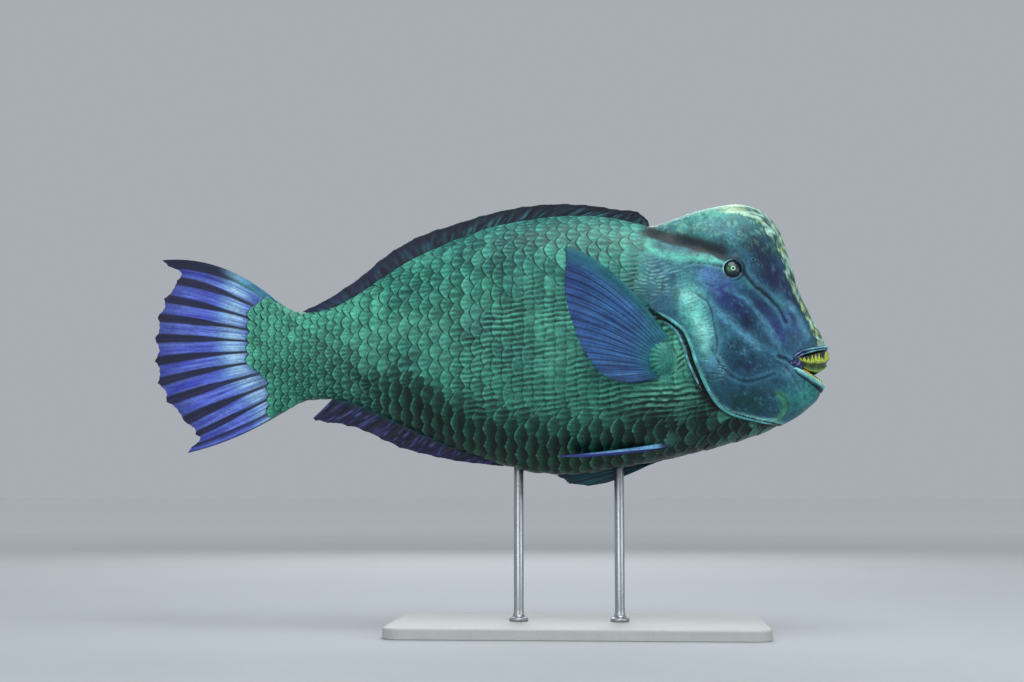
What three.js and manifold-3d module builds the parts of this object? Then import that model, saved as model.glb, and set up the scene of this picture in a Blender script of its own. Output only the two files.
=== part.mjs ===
// Bumphead parrotfish, life size, swimming over a plain display stand.
// Millimetres, +Z up. The head points to +X and the fish's right side to -Y.
// The origin is the middle of the stand's underside.
import * as THREE from "three";
import { mergeVertices } from "three/addons/utils/BufferGeometryUtils.js";
import Module from "manifold-3d";

const wasm = await Module();
wasm.setup();

// Driving sizes
const gap = 0.3; // kept between touching pieces
const swimHeight = 472; // mid-body line above the floor
const fishShift = -138; // brings the fish's weight over the middle of the base
const tailEndX = -402;
const stalkX = -250; // torso meets tail stalk
const snoutX = 542.5;
const torsoFrontX = 488; // the throat under the gill cover ends here
const scaleLength = 34;
const scaleRelief = 3;
const scaleDip = 0.45; // a scale's middle dips this share of a column ahead of its tip
const rowsAroundTorso = 36;
const rowsAroundStalk = 22;
const bellyFullness = 2.12; // 2 is an ellipse, more is squarer
const gillLift = 5; // the gill cover stands this far off the shoulder
const gillLiftReach = 70;
const eyeX = 386.6;
const eyeZ = 105.7;
const eyeRadius = 19;
const eyeSegments = 18;
const eyeSink = 13.5; // middle of the eyeball below the cheek
const eyeRimRadius = 2.8;
const eyeOpening = 13.8; // radius of the ring of lid round the ball
const nostrilRadius = 3;
const lipRadius = 6;
const lipSink = 1.8; // the middle of a lip below the skin
const hollowDepth = 7; // of the dip between the hump and the shoulder
const hollowReach = 26;
const keelRise = 3; // the rough median ridge down the forehead
const padLength = 46; // fleshy root of the pectoral fin
const padHeight = 62;
const padThick = 13;
const padX = 271;
const padZ = -37;
const standLength = 600;
const standWidth = 300;
const standThick = 18;
const standCorner = 30;
const standBevel = 2;
const rodRadius = 8;
const rodReach = 6; // the rods run this far into the belly before they are cut
const rodFrontX = 205;
const rodRearX = 42;
const rayRidge = 1.3; // fin rays stand this far off the web at the root
const rayFade = 0.75; // and this share less at the rim
const rootSink = 5; // fins start this far inside the outline before they are cut
const bladeReach = 260; // half the width of a cutting block
// Rings of the head block: from x, with this step
const headRings = [
  [248, 13],
  [404, 9],
  [500, 6],
  [snoutX, 1],
];
const headSides = 40;

// Side outline of the body without its fins, as [x, z] from the mid-body line
const backLine = [
  [-402, 98],
  [-370, 76],
  [-345, 60],
  [-316, 49],
  [-263, 58],
  [-213, 86],
  [-137, 135],
  [-29, 181],
  [44, 198.5],
  [110, 206],
  [176, 205],
  [233, 194],
  [262, 188],
  [297, 198],
  [340, 212],
  [393, 219.5],
  [424, 214],
  [450, 197],
  [470, 168],
  [482, 128],
  [497, 76],
  [516.5, 33],
  [532.5, 3],
  [540, -22],
  [542.5, -44],
];
const bellyLine = [
  [-402, -150],
  [-370, -130],
  [-345, -115],
  [-315, -99],
  [-286, -95],
  [-236, -100],
  [-153, -134],
  [-72, -171],
  [-5, -194],
  [60, -212],
  [120, -217],
  [160, -214],
  [200, -207],
  [250, -199],
  [336, -182],
  [431, -154],
  [489, -127],
  [512, -110],
  [524, -98.5],
  [530, -86],
  [534, -72],
  [542.5, -56],
];
// Half the body's width, and the height at which it is widest
const halfWidthLine = [
  [-402, 8],
  [-360, 17],
  [-316, 26],
  [-250, 38],
  [-150, 58],
  [-50, 76],
  [60, 87],
  [170, 91],
  [260, 90],
  [330, 87],
  [390, 81],
  [440, 71],
  [480, 59],
  [508, 48],
  [527, 39],
  [537, 30],
  [542.5, 16],
];
const widestLine = [
  [-402, -20],
  [-250, -20],
  [0, -2],
  [260, -8],
  [400, -14],
  [500, -40],
  [542.5, -50],
];
// Rear edge of the gill cover, from the nape down and forward to the throat
const gillLine = [
  [262, 230],
  [256, 120],
  [254, 42],
  [284, 25],
  [306, 8],
  [318, -17],
  [326, -43],
  [347, -88],
  [362, -108],
  [382, -121],
  [431, -133],
  [470, -139],
  [490, -165],
];
// Lower edge of the forehead hump, from the nape over the eye to the snout
const humpLine = [
  [268, 240],
  [284, 172],
  [330, 150],
  [394, 137],
  [418, 108],
  [444, 70],
  [478, 40],
  [560, 14],
];
// The dip between the hump and the shoulder, from the nape to above the eye
const hollowLine = [
  [262, 166],
  [300, 154],
  [340, 146],
  [372, 132],
];
// Rear edge of the scaled tail stalk, where the tail fin starts
const stalkEnd = [
  [-366, 130],
  [-366, 72],
  [-386, 62],
  [-401, 44],
  [-402, 12],
  [-401, -22],
  [-384, -39],
  [-360, -50],
  [-318, -90],
  [-318, -160],
];
// Mouth: the gape in side view, the two beak plates in it and the lips round it
const gapeShape = [
  [474, -42],
  [493, -31],
  [516, -23],
  [562, -14],
  [562, -84],
  [534, -75],
  [508, -61],
  [486, -50],
];
const upperBeakShape = [
  [489, -34.5],
  [494, -31.4],
  [516, -23.4],
  [562, -14.4],
  [562, -42],
  [545, -45],
  [525, -57],
  [506, -54],
  [493, -44],
];
const lowerBeakShape = [
  [492, -49.5],
  [508, -57],
  [534, -70.5],
  [562, -78],
  [562, -83.5],
  [534, -74.5],
  [508, -60.5],
  [489, -50.9],
];
const upperLipLine = [
  [476, -38],
  [493, -27],
  [515, -19.5],
  [532, -14.5],
];
const lowerLipLine = [
  [480, -49],
  [500, -62],
  [516, -71],
  [528, -79],
];
const nostrils = [
  [420, 122],
  [431, 112],
];
const beakReach = 2.5; // the plates stand this far out of the lips

// How square the back's half of the cross section is: 2 is an ellipse
const backFullnessLine = [
  [-402, 2],
  [200, 1.95],
  [262, 2],
  [330, 2.2],
  [400, 2.55],
  [542.5, 2.4],
];

// The value at x of a smooth line through a list of [x, value] points.
function along(line, x) {
  const last = line.length - 1;
  let i = 0;
  while (i < last - 1 && x > line[i + 1][0]) i += 1;
  const slope = (k) => {
    const a = line[Math.max(k - 1, 0)];
    const b = line[Math.min(k + 1, last)];
    return (b[1] - a[1]) / (b[0] - a[0]);
  };
  const [x0, y0] = line[i];
  const [x1, y1] = line[i + 1];
  const width = x1 - x0;
  const t = THREE.MathUtils.clamp((x - x0) / width, 0, 1);
  const t2 = t * t;
  const t3 = t2 * t;
  return (
    y0 * (2 * t3 - 3 * t2 + 1) +
    y1 * (3 * t2 - 2 * t3) +
    slope(i) * width * (t3 - 2 * t2 + t) +
    slope(i + 1) * width * (t3 - t2)
  );
}

// A point of the body's skin: around runs from 0 at the back over the right side to 1 at the belly,
// and on to 2 over the left side. grow moves it outwards.
function skinPoint(x, around, grow = 0) {
  const angle = Math.PI * around;
  const up = Math.cos(angle);
  const out = Math.sin(angle);
  const widest = along(widestLine, x);
  const fullness = up > 0 ? along(backFullnessLine, x) : bellyFullness;
  const reach = up > 0 ? along(backLine, x) - widest : widest - along(bellyLine, x);
  const power = 2 / fullness;
  const z = widest + Math.sign(up) * (reach + grow) * Math.abs(up) ** power;
  const y = -Math.sign(out) * (along(halfWidthLine, x) + grow) * Math.abs(out) ** power;
  return new THREE.Vector3(x, y, z);
}

// The skin point of one side (-1 right, 1 left) at a place given in side view.
function sidePoint(x, z, side, grow = 0) {
  const widest = along(widestLine, x);
  const reach = z > widest ? along(backLine, x) - widest : widest - along(bellyLine, x);
  const fullness = z > widest ? along(backFullnessLine, x) : bellyFullness;
  const rise = Math.min(Math.abs(z - widest) / reach, 1);
  const y = along(halfWidthLine, x) * (1 - rise ** fullness) ** (1 / fullness);
  return new THREE.Vector3(x, side * (y + grow), z);
}

function toSolid(geometry) {
  const bare = geometry.clone();
  bare.deleteAttribute("normal");
  bare.deleteAttribute("uv");
  const merged = mergeVertices(bare, 1e-3);
  return new wasm.Manifold(
    new wasm.Mesh({
      numProp: 3,
      vertProperties: merged.attributes.position.array,
      triVerts: new Uint32Array(merged.index.array),
    }),
  );
}

// Only the largest closed surface of a solid, as a three.js geometry.
function toGeometry(solid) {
  const pieces = solid.decompose();
  const largest = pieces.reduce((a, b) => (b.volume() > a.volume() ? b : a));
  const mesh = largest.getMesh();
  const positions = new Float32Array(mesh.numVert * 3);
  for (let i = 0; i < mesh.numVert; i += 1) {
    for (let k = 0; k < 3; k += 1) {
      positions[i * 3 + k] = mesh.vertProperties[i * mesh.numProp + k];
    }
  }
  const geometry = new THREE.BufferGeometry();
  geometry.setAttribute("position", new THREE.BufferAttribute(positions, 3));
  geometry.setIndex(new THREE.BufferAttribute(new Uint32Array(mesh.triVerts), 1));
  geometry.computeVertexNormals();
  return geometry;
}

function fromTriangles(points, triangles) {
  const geometry = new THREE.BufferGeometry();
  const flat = points.flatMap((p) => [p.x, p.y, p.z]);
  geometry.setAttribute("position", new THREE.Float32BufferAttribute(flat, 3));
  geometry.setIndex(triangles.flat());
  return toSolid(geometry);
}

// A side-view outline pushed through the whole fish from left to right.
function sideBlade(outline, reach = bladeReach) {
  const shape = new THREE.Shape(outline.map(([x, z]) => new THREE.Vector2(x, z)));
  const blade = new THREE.ExtrudeGeometry(shape, { depth: 2 * reach, bevelEnabled: false });
  blade.rotateX(Math.PI / 2);
  blade.translate(0, reach, 0);
  return toSolid(blade);
}

// Rings of points joined into a closed skin with flat ends.
function ringSkin(rings) {
  const count = rings[0].length;
  const points = rings.flat();
  const triangles = [];
  for (let i = 0; i < rings.length - 1; i += 1) {
    for (let j = 0; j < count; j += 1) {
      const a = i * count + j;
      const b = i * count + ((j + 1) % count);
      triangles.push([a, b, a + count], [b, b + count, a + count]);
    }
  }
  closeEnds(points, triangles, rings, count);
  return fromTriangles(points, triangles);
}

// Flat fans over the first and last ring.
function closeEnds(points, triangles, rings, count) {
  const middle = (ring) =>
    ring.reduce((sum, p) => sum.add(p), new THREE.Vector3()).divideScalar(count);
  const rear = points.push(middle(rings[0])) - 1;
  const front = points.push(middle(rings[rings.length - 1])) - 1;
  const lastRing = (rings.length - 1) * count;
  for (let j = 0; j < count; j += 1) {
    const k = (j + 1) % count;
    triangles.push([rear, k, j], [front, lastRing + j, lastRing + k]);
  }
}

// Body between two cross sections, its skin a lattice of lozenge scales.
// Every scale's rear tip stands proud and its middle dips towards the head.
function scaledBody(fromX, toX, rowsAround, grow = 0) {
  const columns = Math.round((toX - fromX) / (scaleLength / 2));
  const step = (toX - fromX) / columns;
  const rings = [];
  for (let i = 0; i <= columns; i += 1) {
    const ring = [];
    for (let j = 0; j < rowsAround; j += 1) {
      const atEnd = i === 0 || i === columns;
      const tip = (i + j) % 2 === 0;
      const x = fromX + step * (i + (tip || atEnd ? 0 : scaleDip));
      const around = (2 * j) / rowsAround;
      const flank = THREE.MathUtils.smoothstep(Math.abs(Math.sin(Math.PI * around)), 0.1, 0.5);
      const lift = atEnd ? 0 : flank * scaleRelief * (tip ? 0.5 : -0.5);
      ring.push(skinPoint(x, around, grow + lift));
    }
    rings.push(ring);
  }
  const points = rings.flat();
  const at = (i, j) => i * rowsAround + ((j + rowsAround) % rowsAround);
  const triangles = [];
  for (let i = 0; i <= columns; i += 1) {
    for (let j = 0; j < rowsAround; j += 1) {
      if ((i + j) % 2 === 0) continue;
      const centre = at(i, j);
      if (i < columns) {
        triangles.push([centre, at(i + 1, j), at(i, j - 1)], [centre, at(i, j + 1), at(i + 1, j)]);
      }
      if (i > 0) {
        triangles.push([centre, at(i, j - 1), at(i - 1, j)], [centre, at(i - 1, j), at(i, j + 1)]);
      }
    }
  }
  closeEnds(points, triangles, rings, rowsAround);
  return fromTriangles(points, triangles);
}

function distanceTo(line, x, z) {
  let nearest = Infinity;
  for (let i = 0; i < line.length - 1; i += 1) {
    const start = new THREE.Vector2(...line[i]);
    const edge = new THREE.Vector2(...line[i + 1]).sub(start);
    const offset = new THREE.Vector2(x, z).sub(start);
    const t = THREE.MathUtils.clamp(offset.dot(edge) / edge.lengthSq(), 0, 1);
    nearest = Math.min(nearest, offset.addScaledVector(edge, -t).length());
  }
  return nearest;
}

// The gill cover stands off towards its rear edge, and the nape dips beside the hump.
function faceRelief(x, z) {
  const gill = distanceTo(gillLine.slice(2, -1), x, z);
  const hollow = distanceTo(hollowLine, x, z);
  return (
    gillLift * (1 - THREE.MathUtils.smoothstep(gill, 0, gillLiftReach)) -
    hollowDepth * (1 - THREE.MathUtils.smoothstep(hollow, 0, hollowReach))
  );
}

// Smooth head block, from behind the gill cover to the snout
function headSkin() {
  const places = [];
  for (let k = 0; k < headRings.length - 1; k += 1) {
    const [start, step] = headRings[k];
    for (let x = start; x < headRings[k + 1][0]; x += step) places.push(x);
  }
  places.push(snoutX);
  const rings = places.map((x) => {
    const ring = [];
    for (let j = 0; j < headSides; j += 1) {
      const around = (2 * j) / headSides;
      const flank = Math.abs(Math.sin(Math.PI * around)) ** 0.5;
      const keel = j === 0 ? keelRise * THREE.MathUtils.smoothstep(x, 340, 430) : 0;
      const relief = faceRelief(x, skinPoint(x, around).z) * flank;
      ring.push(skinPoint(x, around, relief + keel));
    }
    return ring;
  });
  return ringSkin(rings);
}

// A round bar along a smooth path
function bar(path, radius, sides, steps) {
  const section = new THREE.Shape();
  for (let k = 0; k < sides; k += 1) {
    const angle = (2 * Math.PI * k) / sides;
    const method = k === 0 ? "moveTo" : "lineTo";
    section[method](radius * Math.cos(angle), radius * Math.sin(angle));
  }
  section.closePath();
  const extrudePath = new THREE.CatmullRomCurve3(path);
  return toSolid(new THREE.ExtrudeGeometry(section, { steps, extrudePath }));
}

// The lip of one jaw, from mouth corner round the snout to mouth corner
function lip(line) {
  const right = line.map(([x, z]) => sidePoint(x, z, -1, -lipSink));
  const left = line.map(([x, z]) => sidePoint(x, z, 1, -lipSink)).reverse();
  return bar([...right, ...left], lipRadius, 8, 24);
}

// The face's outward direction beside the eye
function eyeFrame(side) {
  const step = 4;
  const seat = sidePoint(eyeX, eyeZ, side);
  const ahead = sidePoint(eyeX + step, eyeZ, side).sub(seat);
  const above = sidePoint(eyeX, eyeZ + step, side).sub(seat);
  const outwards = new THREE.Vector3().crossVectors(ahead, above).normalize();
  if (outwards.y * side < 0) outwards.negate();
  const centre = seat.clone().addScaledVector(outwards, -eyeSink);
  return { seat, outwards, centre };
}

// The raised ring of skin round the eye
function eyeRim(side) {
  const ring = new THREE.TorusGeometry(eyeOpening, eyeRimRadius, 6, 22);
  const { seat, outwards } = eyeFrame(side);
  const turn = new THREE.Quaternion().setFromUnitVectors(new THREE.Vector3(0, 0, 1), outwards);
  ring.applyQuaternion(turn);
  ring.translate(seat.x, seat.y, seat.z);
  return toSolid(ring);
}

function eyeball(side, radius) {
  const ball = new THREE.SphereGeometry(radius, eyeSegments, 12);
  const { centre } = eyeFrame(side);
  ball.translate(centre.x, centre.y, centre.z);
  return toSolid(ball);
}

// A fin: rays fan from the root line to the rim. Both faces share one grid of triangles.
function finSheet({ rays, rows, root, bend, rim, rootHalf, rimHalf, scallop = 0.012 }) {
  const columns = 2 * rays - 2;
  const middle = (u, v) => {
    const a = root(u).multiplyScalar((1 - v) * (1 - v));
    const b = bend(u).multiplyScalar(2 * v * (1 - v));
    return a.add(b).add(rim(u).multiplyScalar(v * v));
  };
  const small = 1e-3;
  const normalAt = (u, v) => {
    const u0 = Math.max(u - small, 0);
    const u1 = Math.min(u + small, 1);
    const v0 = Math.max(v - small, 0);
    const v1 = Math.min(v + small, 1);
    const across = middle(u1, v).sub(middle(u0, v));
    const outward = middle(u, v1).sub(middle(u, v0));
    return across.cross(outward).normalize();
  };
  const faces = [[], []];
  for (let c = 0; c <= columns; c += 1) {
    const u = c / columns;
    const web = c % 2 === 1;
    for (let r = 0; r <= rows; r += 1) {
      const v = (r / rows) * (web ? 1 - scallop : 1);
      const normal = normalAt(u, v);
      const raised = web ? 0 : rayRidge * (1 - rayFade * v);
      const half = THREE.MathUtils.lerp(rootHalf, rimHalf, Math.sqrt(v)) + raised;
      faces[0].push(middle(u, v).addScaledVector(normal, half));
      faces[1].push(middle(u, v).addScaledVector(normal, -half));
    }
  }
  const size = faces[0].length;
  const points = [...faces[0], ...faces[1]];
  const at = (c, r) => c * (rows + 1) + r;
  const triangles = [];
  for (let c = 0; c < columns; c += 1) {
    for (let r = 0; r < rows; r += 1) {
      const [a, b, d, e] = [at(c, r), at(c + 1, r), at(c, r + 1), at(c + 1, r + 1)];
      triangles.push([a, b, d], [b, e, d]);
      triangles.push([size + a, size + d, size + b], [size + b, size + d, size + e]);
    }
  }
  const wall = (a, b) => triangles.push([a, size + a, b], [b, size + a, size + b]);
  for (let c = 0; c < columns; c += 1) {
    wall(at(c, 0), at(c + 1, 0));
    wall(at(c + 1, rows), at(c, rows));
  }
  for (let r = 0; r < rows; r += 1) {
    wall(at(0, r + 1), at(0, r));
    wall(at(columns, r), at(columns, r + 1));
  }
  return fromTriangles(points, triangles);
}

// A smooth curve through points given in side view, in the fish's middle plane or at a given y.
function sideCurve(outline, y = 0) {
  const points = outline.map(([x, z, out = y]) => new THREE.Vector3(x, out, z));
  const curve = new THREE.CatmullRomCurve3(points, false, "centripetal");
  return (u) => curve.getPoint(THREE.MathUtils.clamp(u, 0, 1));
}

// Body blocks
const headBlade = sideBlade([...gillLine, [700, -165], [700, 260], [262, 260]]);
const humpBlade = sideBlade([...humpLine, [700, 14], [700, 260], [268, 260]]);
const stalkBlade = sideBlade([...stalkEnd, [-150, -160], [-150, 130]]);
const wholeHead = headSkin();

function shifted(solid, dx, dz) {
  return solid.translate([dx, 0, dz]);
}

// The fleshy pad that a pectoral fin springs from
function pectoralPad(side, grow) {
  const pad = new THREE.SphereGeometry(1, 16, 10);
  pad.scale(padLength / 2 + grow, padThick + grow, padHeight / 2 + grow);
  const seat = sidePoint(padX, padZ, side);
  pad.translate(seat.x, seat.y, seat.z);
  return toSolid(pad);
}

function makeTorso(grow = 0) {
  let block = scaledBody(stalkX + gap / 2, torsoFrontX, rowsAroundTorso, grow);
  for (const side of [-1, 1]) {
    block = block.add(pectoralPad(side, grow));
  }
  return block.subtract(shifted(headBlade, -gap + grow, -gap + grow));
}

function makeStalk(grow = 0) {
  const block = scaledBody(tailEndX, stalkX - gap / 2, rowsAroundStalk, grow);
  return block.intersect(stalkBlade);
}

function makeHump() {
  let hump = wholeHead.intersect(headBlade).intersect(humpBlade);
  for (const side of [-1, 1]) {
    for (const [x, z] of nostrils) {
      const pit = new THREE.SphereGeometry(nostrilRadius, 10, 6);
      const seat = sidePoint(x, z, side);
      pit.translate(seat.x, seat.y, seat.z);
      hump = hump.subtract(toSolid(pit));
    }
  }
  return hump;
}

function makeHead() {
  let head = wholeHead.intersect(headBlade).subtract(shifted(humpBlade, 0, -gap));
  head = head.add(lip(upperLipLine)).add(lip(lowerLipLine)).subtract(sideBlade(gapeShape));
  for (const side of [-1, 1]) {
    head = head.add(eyeRim(side)).subtract(eyeball(side, eyeRadius + gap));
  }
  return head;
}

function makeBeak(outline) {
  return shifted(wholeHead, beakReach, 0).intersect(sideBlade(outline));
}

// Fins
const grownTorso = makeTorso(gap);
const grownStalk = makeStalk(gap);
const grownHump = shifted(makeHump(), -gap, gap);

function makeDorsalFin() {
  const rim = sideCurve([
    [-318, 51.2],
    [-279, 70],
    [-220, 109],
    [-181, 142],
    [-126, 174.5],
    [-63, 195.5],
    [-4, 212.5],
    [54, 223.5],
    [113, 227],
    [171, 222.5],
    [209, 215.5],
    [237, 212.5],
    [254, 198],
  ]);
  const frontX = 258;
  const rearX = -300;
  const rootX = (u) => THREE.MathUtils.lerp(rearX, frontX, u);
  const root = (u) => new THREE.Vector3(rootX(u), 0, along(backLine, rootX(u)) - rootSink);
  const bend = (u) => root(u).lerp(rim(u), 0.5).add(new THREE.Vector3(0, 0, 2));
  const plate = finSheet({ rays: 21, rows: 2, root, bend, rim, rootHalf: 4, rimHalf: 0.7 });
  return plate.subtract(grownTorso).subtract(grownStalk).subtract(grownHump);
}

function makeAnalFin() {
  const rim = sideCurve([
    [-300, -128],
    [-286, -132],
    [-250, -137],
    [-219, -145],
    [-186, -160],
    [-153, -175],
    [-120, -184],
    [-87, -191.5],
    [-54, -197.5],
    [-21, -201],
    [16, -205],
  ]);
  const rearX = -262;
  const frontX = 22;
  const rootX = (u) => THREE.MathUtils.lerp(rearX, frontX, u);
  const root = (u) => new THREE.Vector3(rootX(u), 0, along(bellyLine, rootX(u)) + rootSink);
  const bend = (u) => root(u).lerp(rim(u), 0.5).add(new THREE.Vector3(0, 0, -2));
  const plate = finSheet({ rays: 12, rows: 2, root, bend, rim, rootHalf: 4, rimHalf: 0.7 });
  return plate.subtract(grownTorso).subtract(grownStalk);
}

function makeCaudalFin() {
  const rim = sideCurve([
    [-565, 138],
    [-527, 115],
    [-546, 84],
    [-561, 50],
    [-566, 12],
    [-565, -31],
    [-559, -70],
    [-540, -104],
    [-506, -140],
    [-491, -160],
    [-514, -184],
  ]);
  const root = sideCurve([
    [-352, 62],
    [-362, 30],
    [-364, 0],
    [-360, -30],
    [-330, -60],
    [-306, -88],
  ]);
  const hollow = sideCurve([
    [-452, 152],
    [-460, 70],
    [-462, 10],
    [-458, -40],
    [-434, -102],
    [-410, -163],
  ]);
  const plate = finSheet({
    rays: 12,
    rows: 6,
    root,
    bend: hollow,
    rim,
    rootHalf: 5,
    rimHalf: 0.7,
    scallop: 0.03,
  });
  return plate.subtract(shifted(stalkBlade, -gap, 0)).subtract(grownStalk);
}

// Pectoral fin held out and back, its rays springing from the rear of the fleshy pad
function makePectoralFin(side) {
  const rim = sideCurve([
    [124, 130, side * 176],
    [124, 100, side * 170],
    [123, 62, side * 160],
    [131, 24, side * 149],
    [148, -20, side * 139],
    [168, -52, side * 132],
    [190, -70, side * 126],
    [218, -76, side * 117],
  ]);
  const arc = sideCurve([
    [284, -4],
    [266, -16],
    [256, -38],
    [258, -56],
    [266, -68],
  ]);
  const inside = 3;
  const edgeBulge = 54; // the leading edge bows up this far at its control point
  const rearSag = 4;
  const outwardBow = 6;
  const root = (u) => sidePoint(arc(u).x, arc(u).z, side, -inside);
  const bend = (u) => {
    const middle = root(u).lerp(rim(u), 0.5);
    const lift = edgeBulge * (1 - u) * (1 - u) - rearSag * u;
    return middle.add(new THREE.Vector3(-rearSag, side * outwardBow, lift));
  };
  const plate = finSheet({ rays: 15, rows: 6, root, bend, rim, rootHalf: 4.5, rimHalf: 0.6 });
  return plate.subtract(grownTorso);
}

function makePelvicFin(side, spread) {
  const root = sideCurve(spread.root.map(([x, z, y]) => [x, z, side * y]));
  const rim = sideCurve(spread.rim.map(([x, z, y]) => [x, z, side * y]));
  const bend = (u) => root(u).lerp(rim(u), 0.5).add(new THREE.Vector3(0, 0, spread.sag));
  const plate = finSheet({ rays: 6, rows: 5, root, bend, rim, rootHalf: 4, rimHalf: 0.7 });
  return plate.subtract(grownTorso);
}

// The right pelvic fin lies flat and outwards, and the left one hangs below the belly.
const pelvicSpreadRight = {
  root: [
    [286, -171, 46],
    [258, -177, 42],
  ],
  rim: [
    [112, -190, 96],
    [114, -190.5, 74],
    [140, -191, 52],
  ],
  sag: -3,
};
const pelvicSpreadLeft = {
  root: [
    [292, -188, 16],
    [262, -193, 12],
  ],
  rim: [
    [98, -213, 26],
    [110, -228, 30],
    [136, -236, 30],
    [170, -235, 28],
    [203, -225, 24],
    [236, -209, 18],
  ],
  sag: -2,
};

function makeRod(x) {
  const foot = standThick + gap - swimHeight;
  const height = along(bellyLine, x) + rodReach - foot;
  const rod = new THREE.CylinderGeometry(rodRadius, rodRadius, height, 16);
  rod.rotateX(Math.PI / 2);
  rod.translate(x, 0, foot + height / 2);
  return toSolid(rod).subtract(grownTorso);
}

function makeBase() {
  const shape = new THREE.Shape();
  const [a, b, r] = [standLength / 2 - standBevel, standWidth / 2 - standBevel, standCorner];
  shape.moveTo(-a + r, -b);
  shape.lineTo(a - r, -b);
  shape.absarc(a - r, -b + r, r, -Math.PI / 2, 0);
  shape.absarc(a - r, b - r, r, 0, Math.PI / 2);
  shape.absarc(-a + r, b - r, r, Math.PI / 2, Math.PI);
  shape.absarc(-a + r, -b + r, r, Math.PI, 1.5 * Math.PI);
  const base = new THREE.ExtrudeGeometry(shape, {
    depth: standThick - 2 * standBevel,
    bevelThickness: standBevel,
    bevelSize: standBevel,
    bevelSegments: 1,
    curveSegments: 4,
  });
  base.translate(0, 0, standBevel);
  return toSolid(base);
}

// Materials
const skinGreen = { color: 0x3c8673, roughness: 0.42, metalness: 0 };
const headBlue = { color: 0x3a6c90, roughness: 0.38, metalness: 0 };
const finViolet = { color: 0x3b4ca6, roughness: 0.4, metalness: 0 };
const finNavy = { color: 0x16263f, roughness: 0.45, metalness: 0 };
const beakGreen = { color: 0x7d9334, roughness: 0.35, metalness: 0 };
const eyeDark = { color: 0x1c3a4a, roughness: 0.1, metalness: 0 };
const standPaint = { color: 0xb9bcb8, roughness: 0.55, metalness: 0 };
const standSteel = { color: 0xb4b8bc, roughness: 0.3, metalness: 0.9 };

const model = new THREE.Group();
const fish = new THREE.Group();
fish.position.set(fishShift, 0, swimHeight);
model.add(fish);

function place(parent, name, solid, look) {
  const mesh = new THREE.Mesh(toGeometry(solid), new THREE.MeshStandardMaterial(look));
  mesh.name = name;
  parent.add(mesh);
}

place(fish, "head", makeHead(), headBlue);
place(fish, "forehead_hump", makeHump(), headBlue);
place(fish, "torso", makeTorso(), skinGreen);
place(fish, "tail_stalk", makeStalk(), skinGreen);
place(fish, "beak_upper", makeBeak(upperBeakShape), beakGreen);
place(fish, "beak_lower", makeBeak(lowerBeakShape), beakGreen);
place(fish, "eye_right", eyeball(-1, eyeRadius), eyeDark);
place(fish, "eye_left", eyeball(1, eyeRadius), eyeDark);
place(fish, "dorsal_fin", makeDorsalFin(), finNavy);
place(fish, "anal_fin", makeAnalFin(), finNavy);
place(fish, "caudal_fin", makeCaudalFin(), finViolet);
place(fish, "pectoral_fin_right", makePectoralFin(-1), finViolet);
place(fish, "pectoral_fin_left", makePectoralFin(1), finViolet);
place(fish, "pelvic_fin_right", makePelvicFin(-1, pelvicSpreadRight), finViolet);
place(fish, "pelvic_fin_left", makePelvicFin(1, pelvicSpreadLeft), finNavy);
place(fish, "stand_rod_front", makeRod(rodFrontX), standSteel);
place(fish, "stand_rod_rear", makeRod(rodRearX), standSteel);
place(model, "stand_base", makeBase(), standPaint);

export default model;
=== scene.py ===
import math
import bpy
import numpy as np
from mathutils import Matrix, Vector


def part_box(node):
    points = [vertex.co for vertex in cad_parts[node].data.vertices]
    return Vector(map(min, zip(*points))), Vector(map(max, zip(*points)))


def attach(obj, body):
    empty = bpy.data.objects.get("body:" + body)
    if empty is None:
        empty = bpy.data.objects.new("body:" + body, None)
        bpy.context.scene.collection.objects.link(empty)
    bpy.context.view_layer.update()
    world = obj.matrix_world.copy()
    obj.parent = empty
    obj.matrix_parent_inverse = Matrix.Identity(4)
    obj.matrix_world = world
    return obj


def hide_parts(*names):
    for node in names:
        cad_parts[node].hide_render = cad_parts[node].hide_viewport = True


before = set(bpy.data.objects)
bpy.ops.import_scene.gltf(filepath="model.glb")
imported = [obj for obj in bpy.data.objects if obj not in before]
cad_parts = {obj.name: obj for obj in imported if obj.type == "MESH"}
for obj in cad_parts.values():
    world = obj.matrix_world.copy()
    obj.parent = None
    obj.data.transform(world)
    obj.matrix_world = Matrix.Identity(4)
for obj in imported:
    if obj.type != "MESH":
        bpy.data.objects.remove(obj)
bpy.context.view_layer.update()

# Bumphead parrotfish, life size, on a display stand.
# Shapes are worked out in fish millimetres: x to the snout, z up from the mid-body line,
# the fish's right side at -y. toWorld turns them into the frame's metres.
place = {
    "shift": -138.0,      # fish x to frame x
    "swimHeight": 472.0,  # mid-body line above the floor
    "seed": 11,
}


def toWorld(points):
    p = np.asarray(points, float)
    return (p + np.array([place["shift"], 0.0, place["swimHeight"]])) / 1000


def fromWorld(points):
    return np.asarray(points, float) * 1000 - np.array([place["shift"], 0.0, place["swimHeight"]])


print("camera, lights and floor")

view = {
    "target": (31, 0, 0),  # fish mm in the middle of the picture
    "distance": 2.7,
    "azimuth": 4,          # degrees towards the head
    "elevation": -5,       # looks up a little
    "lens": 57.9,
}
studio = {
    "world": (0.78, 0.84, 0.90),
    "worldStrength": 0.50,
    "floorNear": (0.46, 0.48, 0.51),
    "floorFar": (0.96, 0.97, 0.98),
    "floorRadius": 30,
    # name: place, size, watts, colour
    "lights": {
        "overhead": ((0.35, -0.7, 2.5), 1.7, 40, (0.97, 1.0, 1.0)),
        "front": ((-0.9, -2.6, 1.1), 1.6, 15, (0.95, 0.99, 1.0)),
        "snout": ((2.4, -1.3, 0.9), 1.3, 10, (0.95, 0.98, 1.0)),
        "back": ((-0.3, 2.4, 1.9), 1.8, 30, (0.97, 1.0, 1.0)),
        "below": ((0.0, -1.7, 0.12), 1.2, 2, (0.85, 0.95, 1.0)),
    },
}


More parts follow.
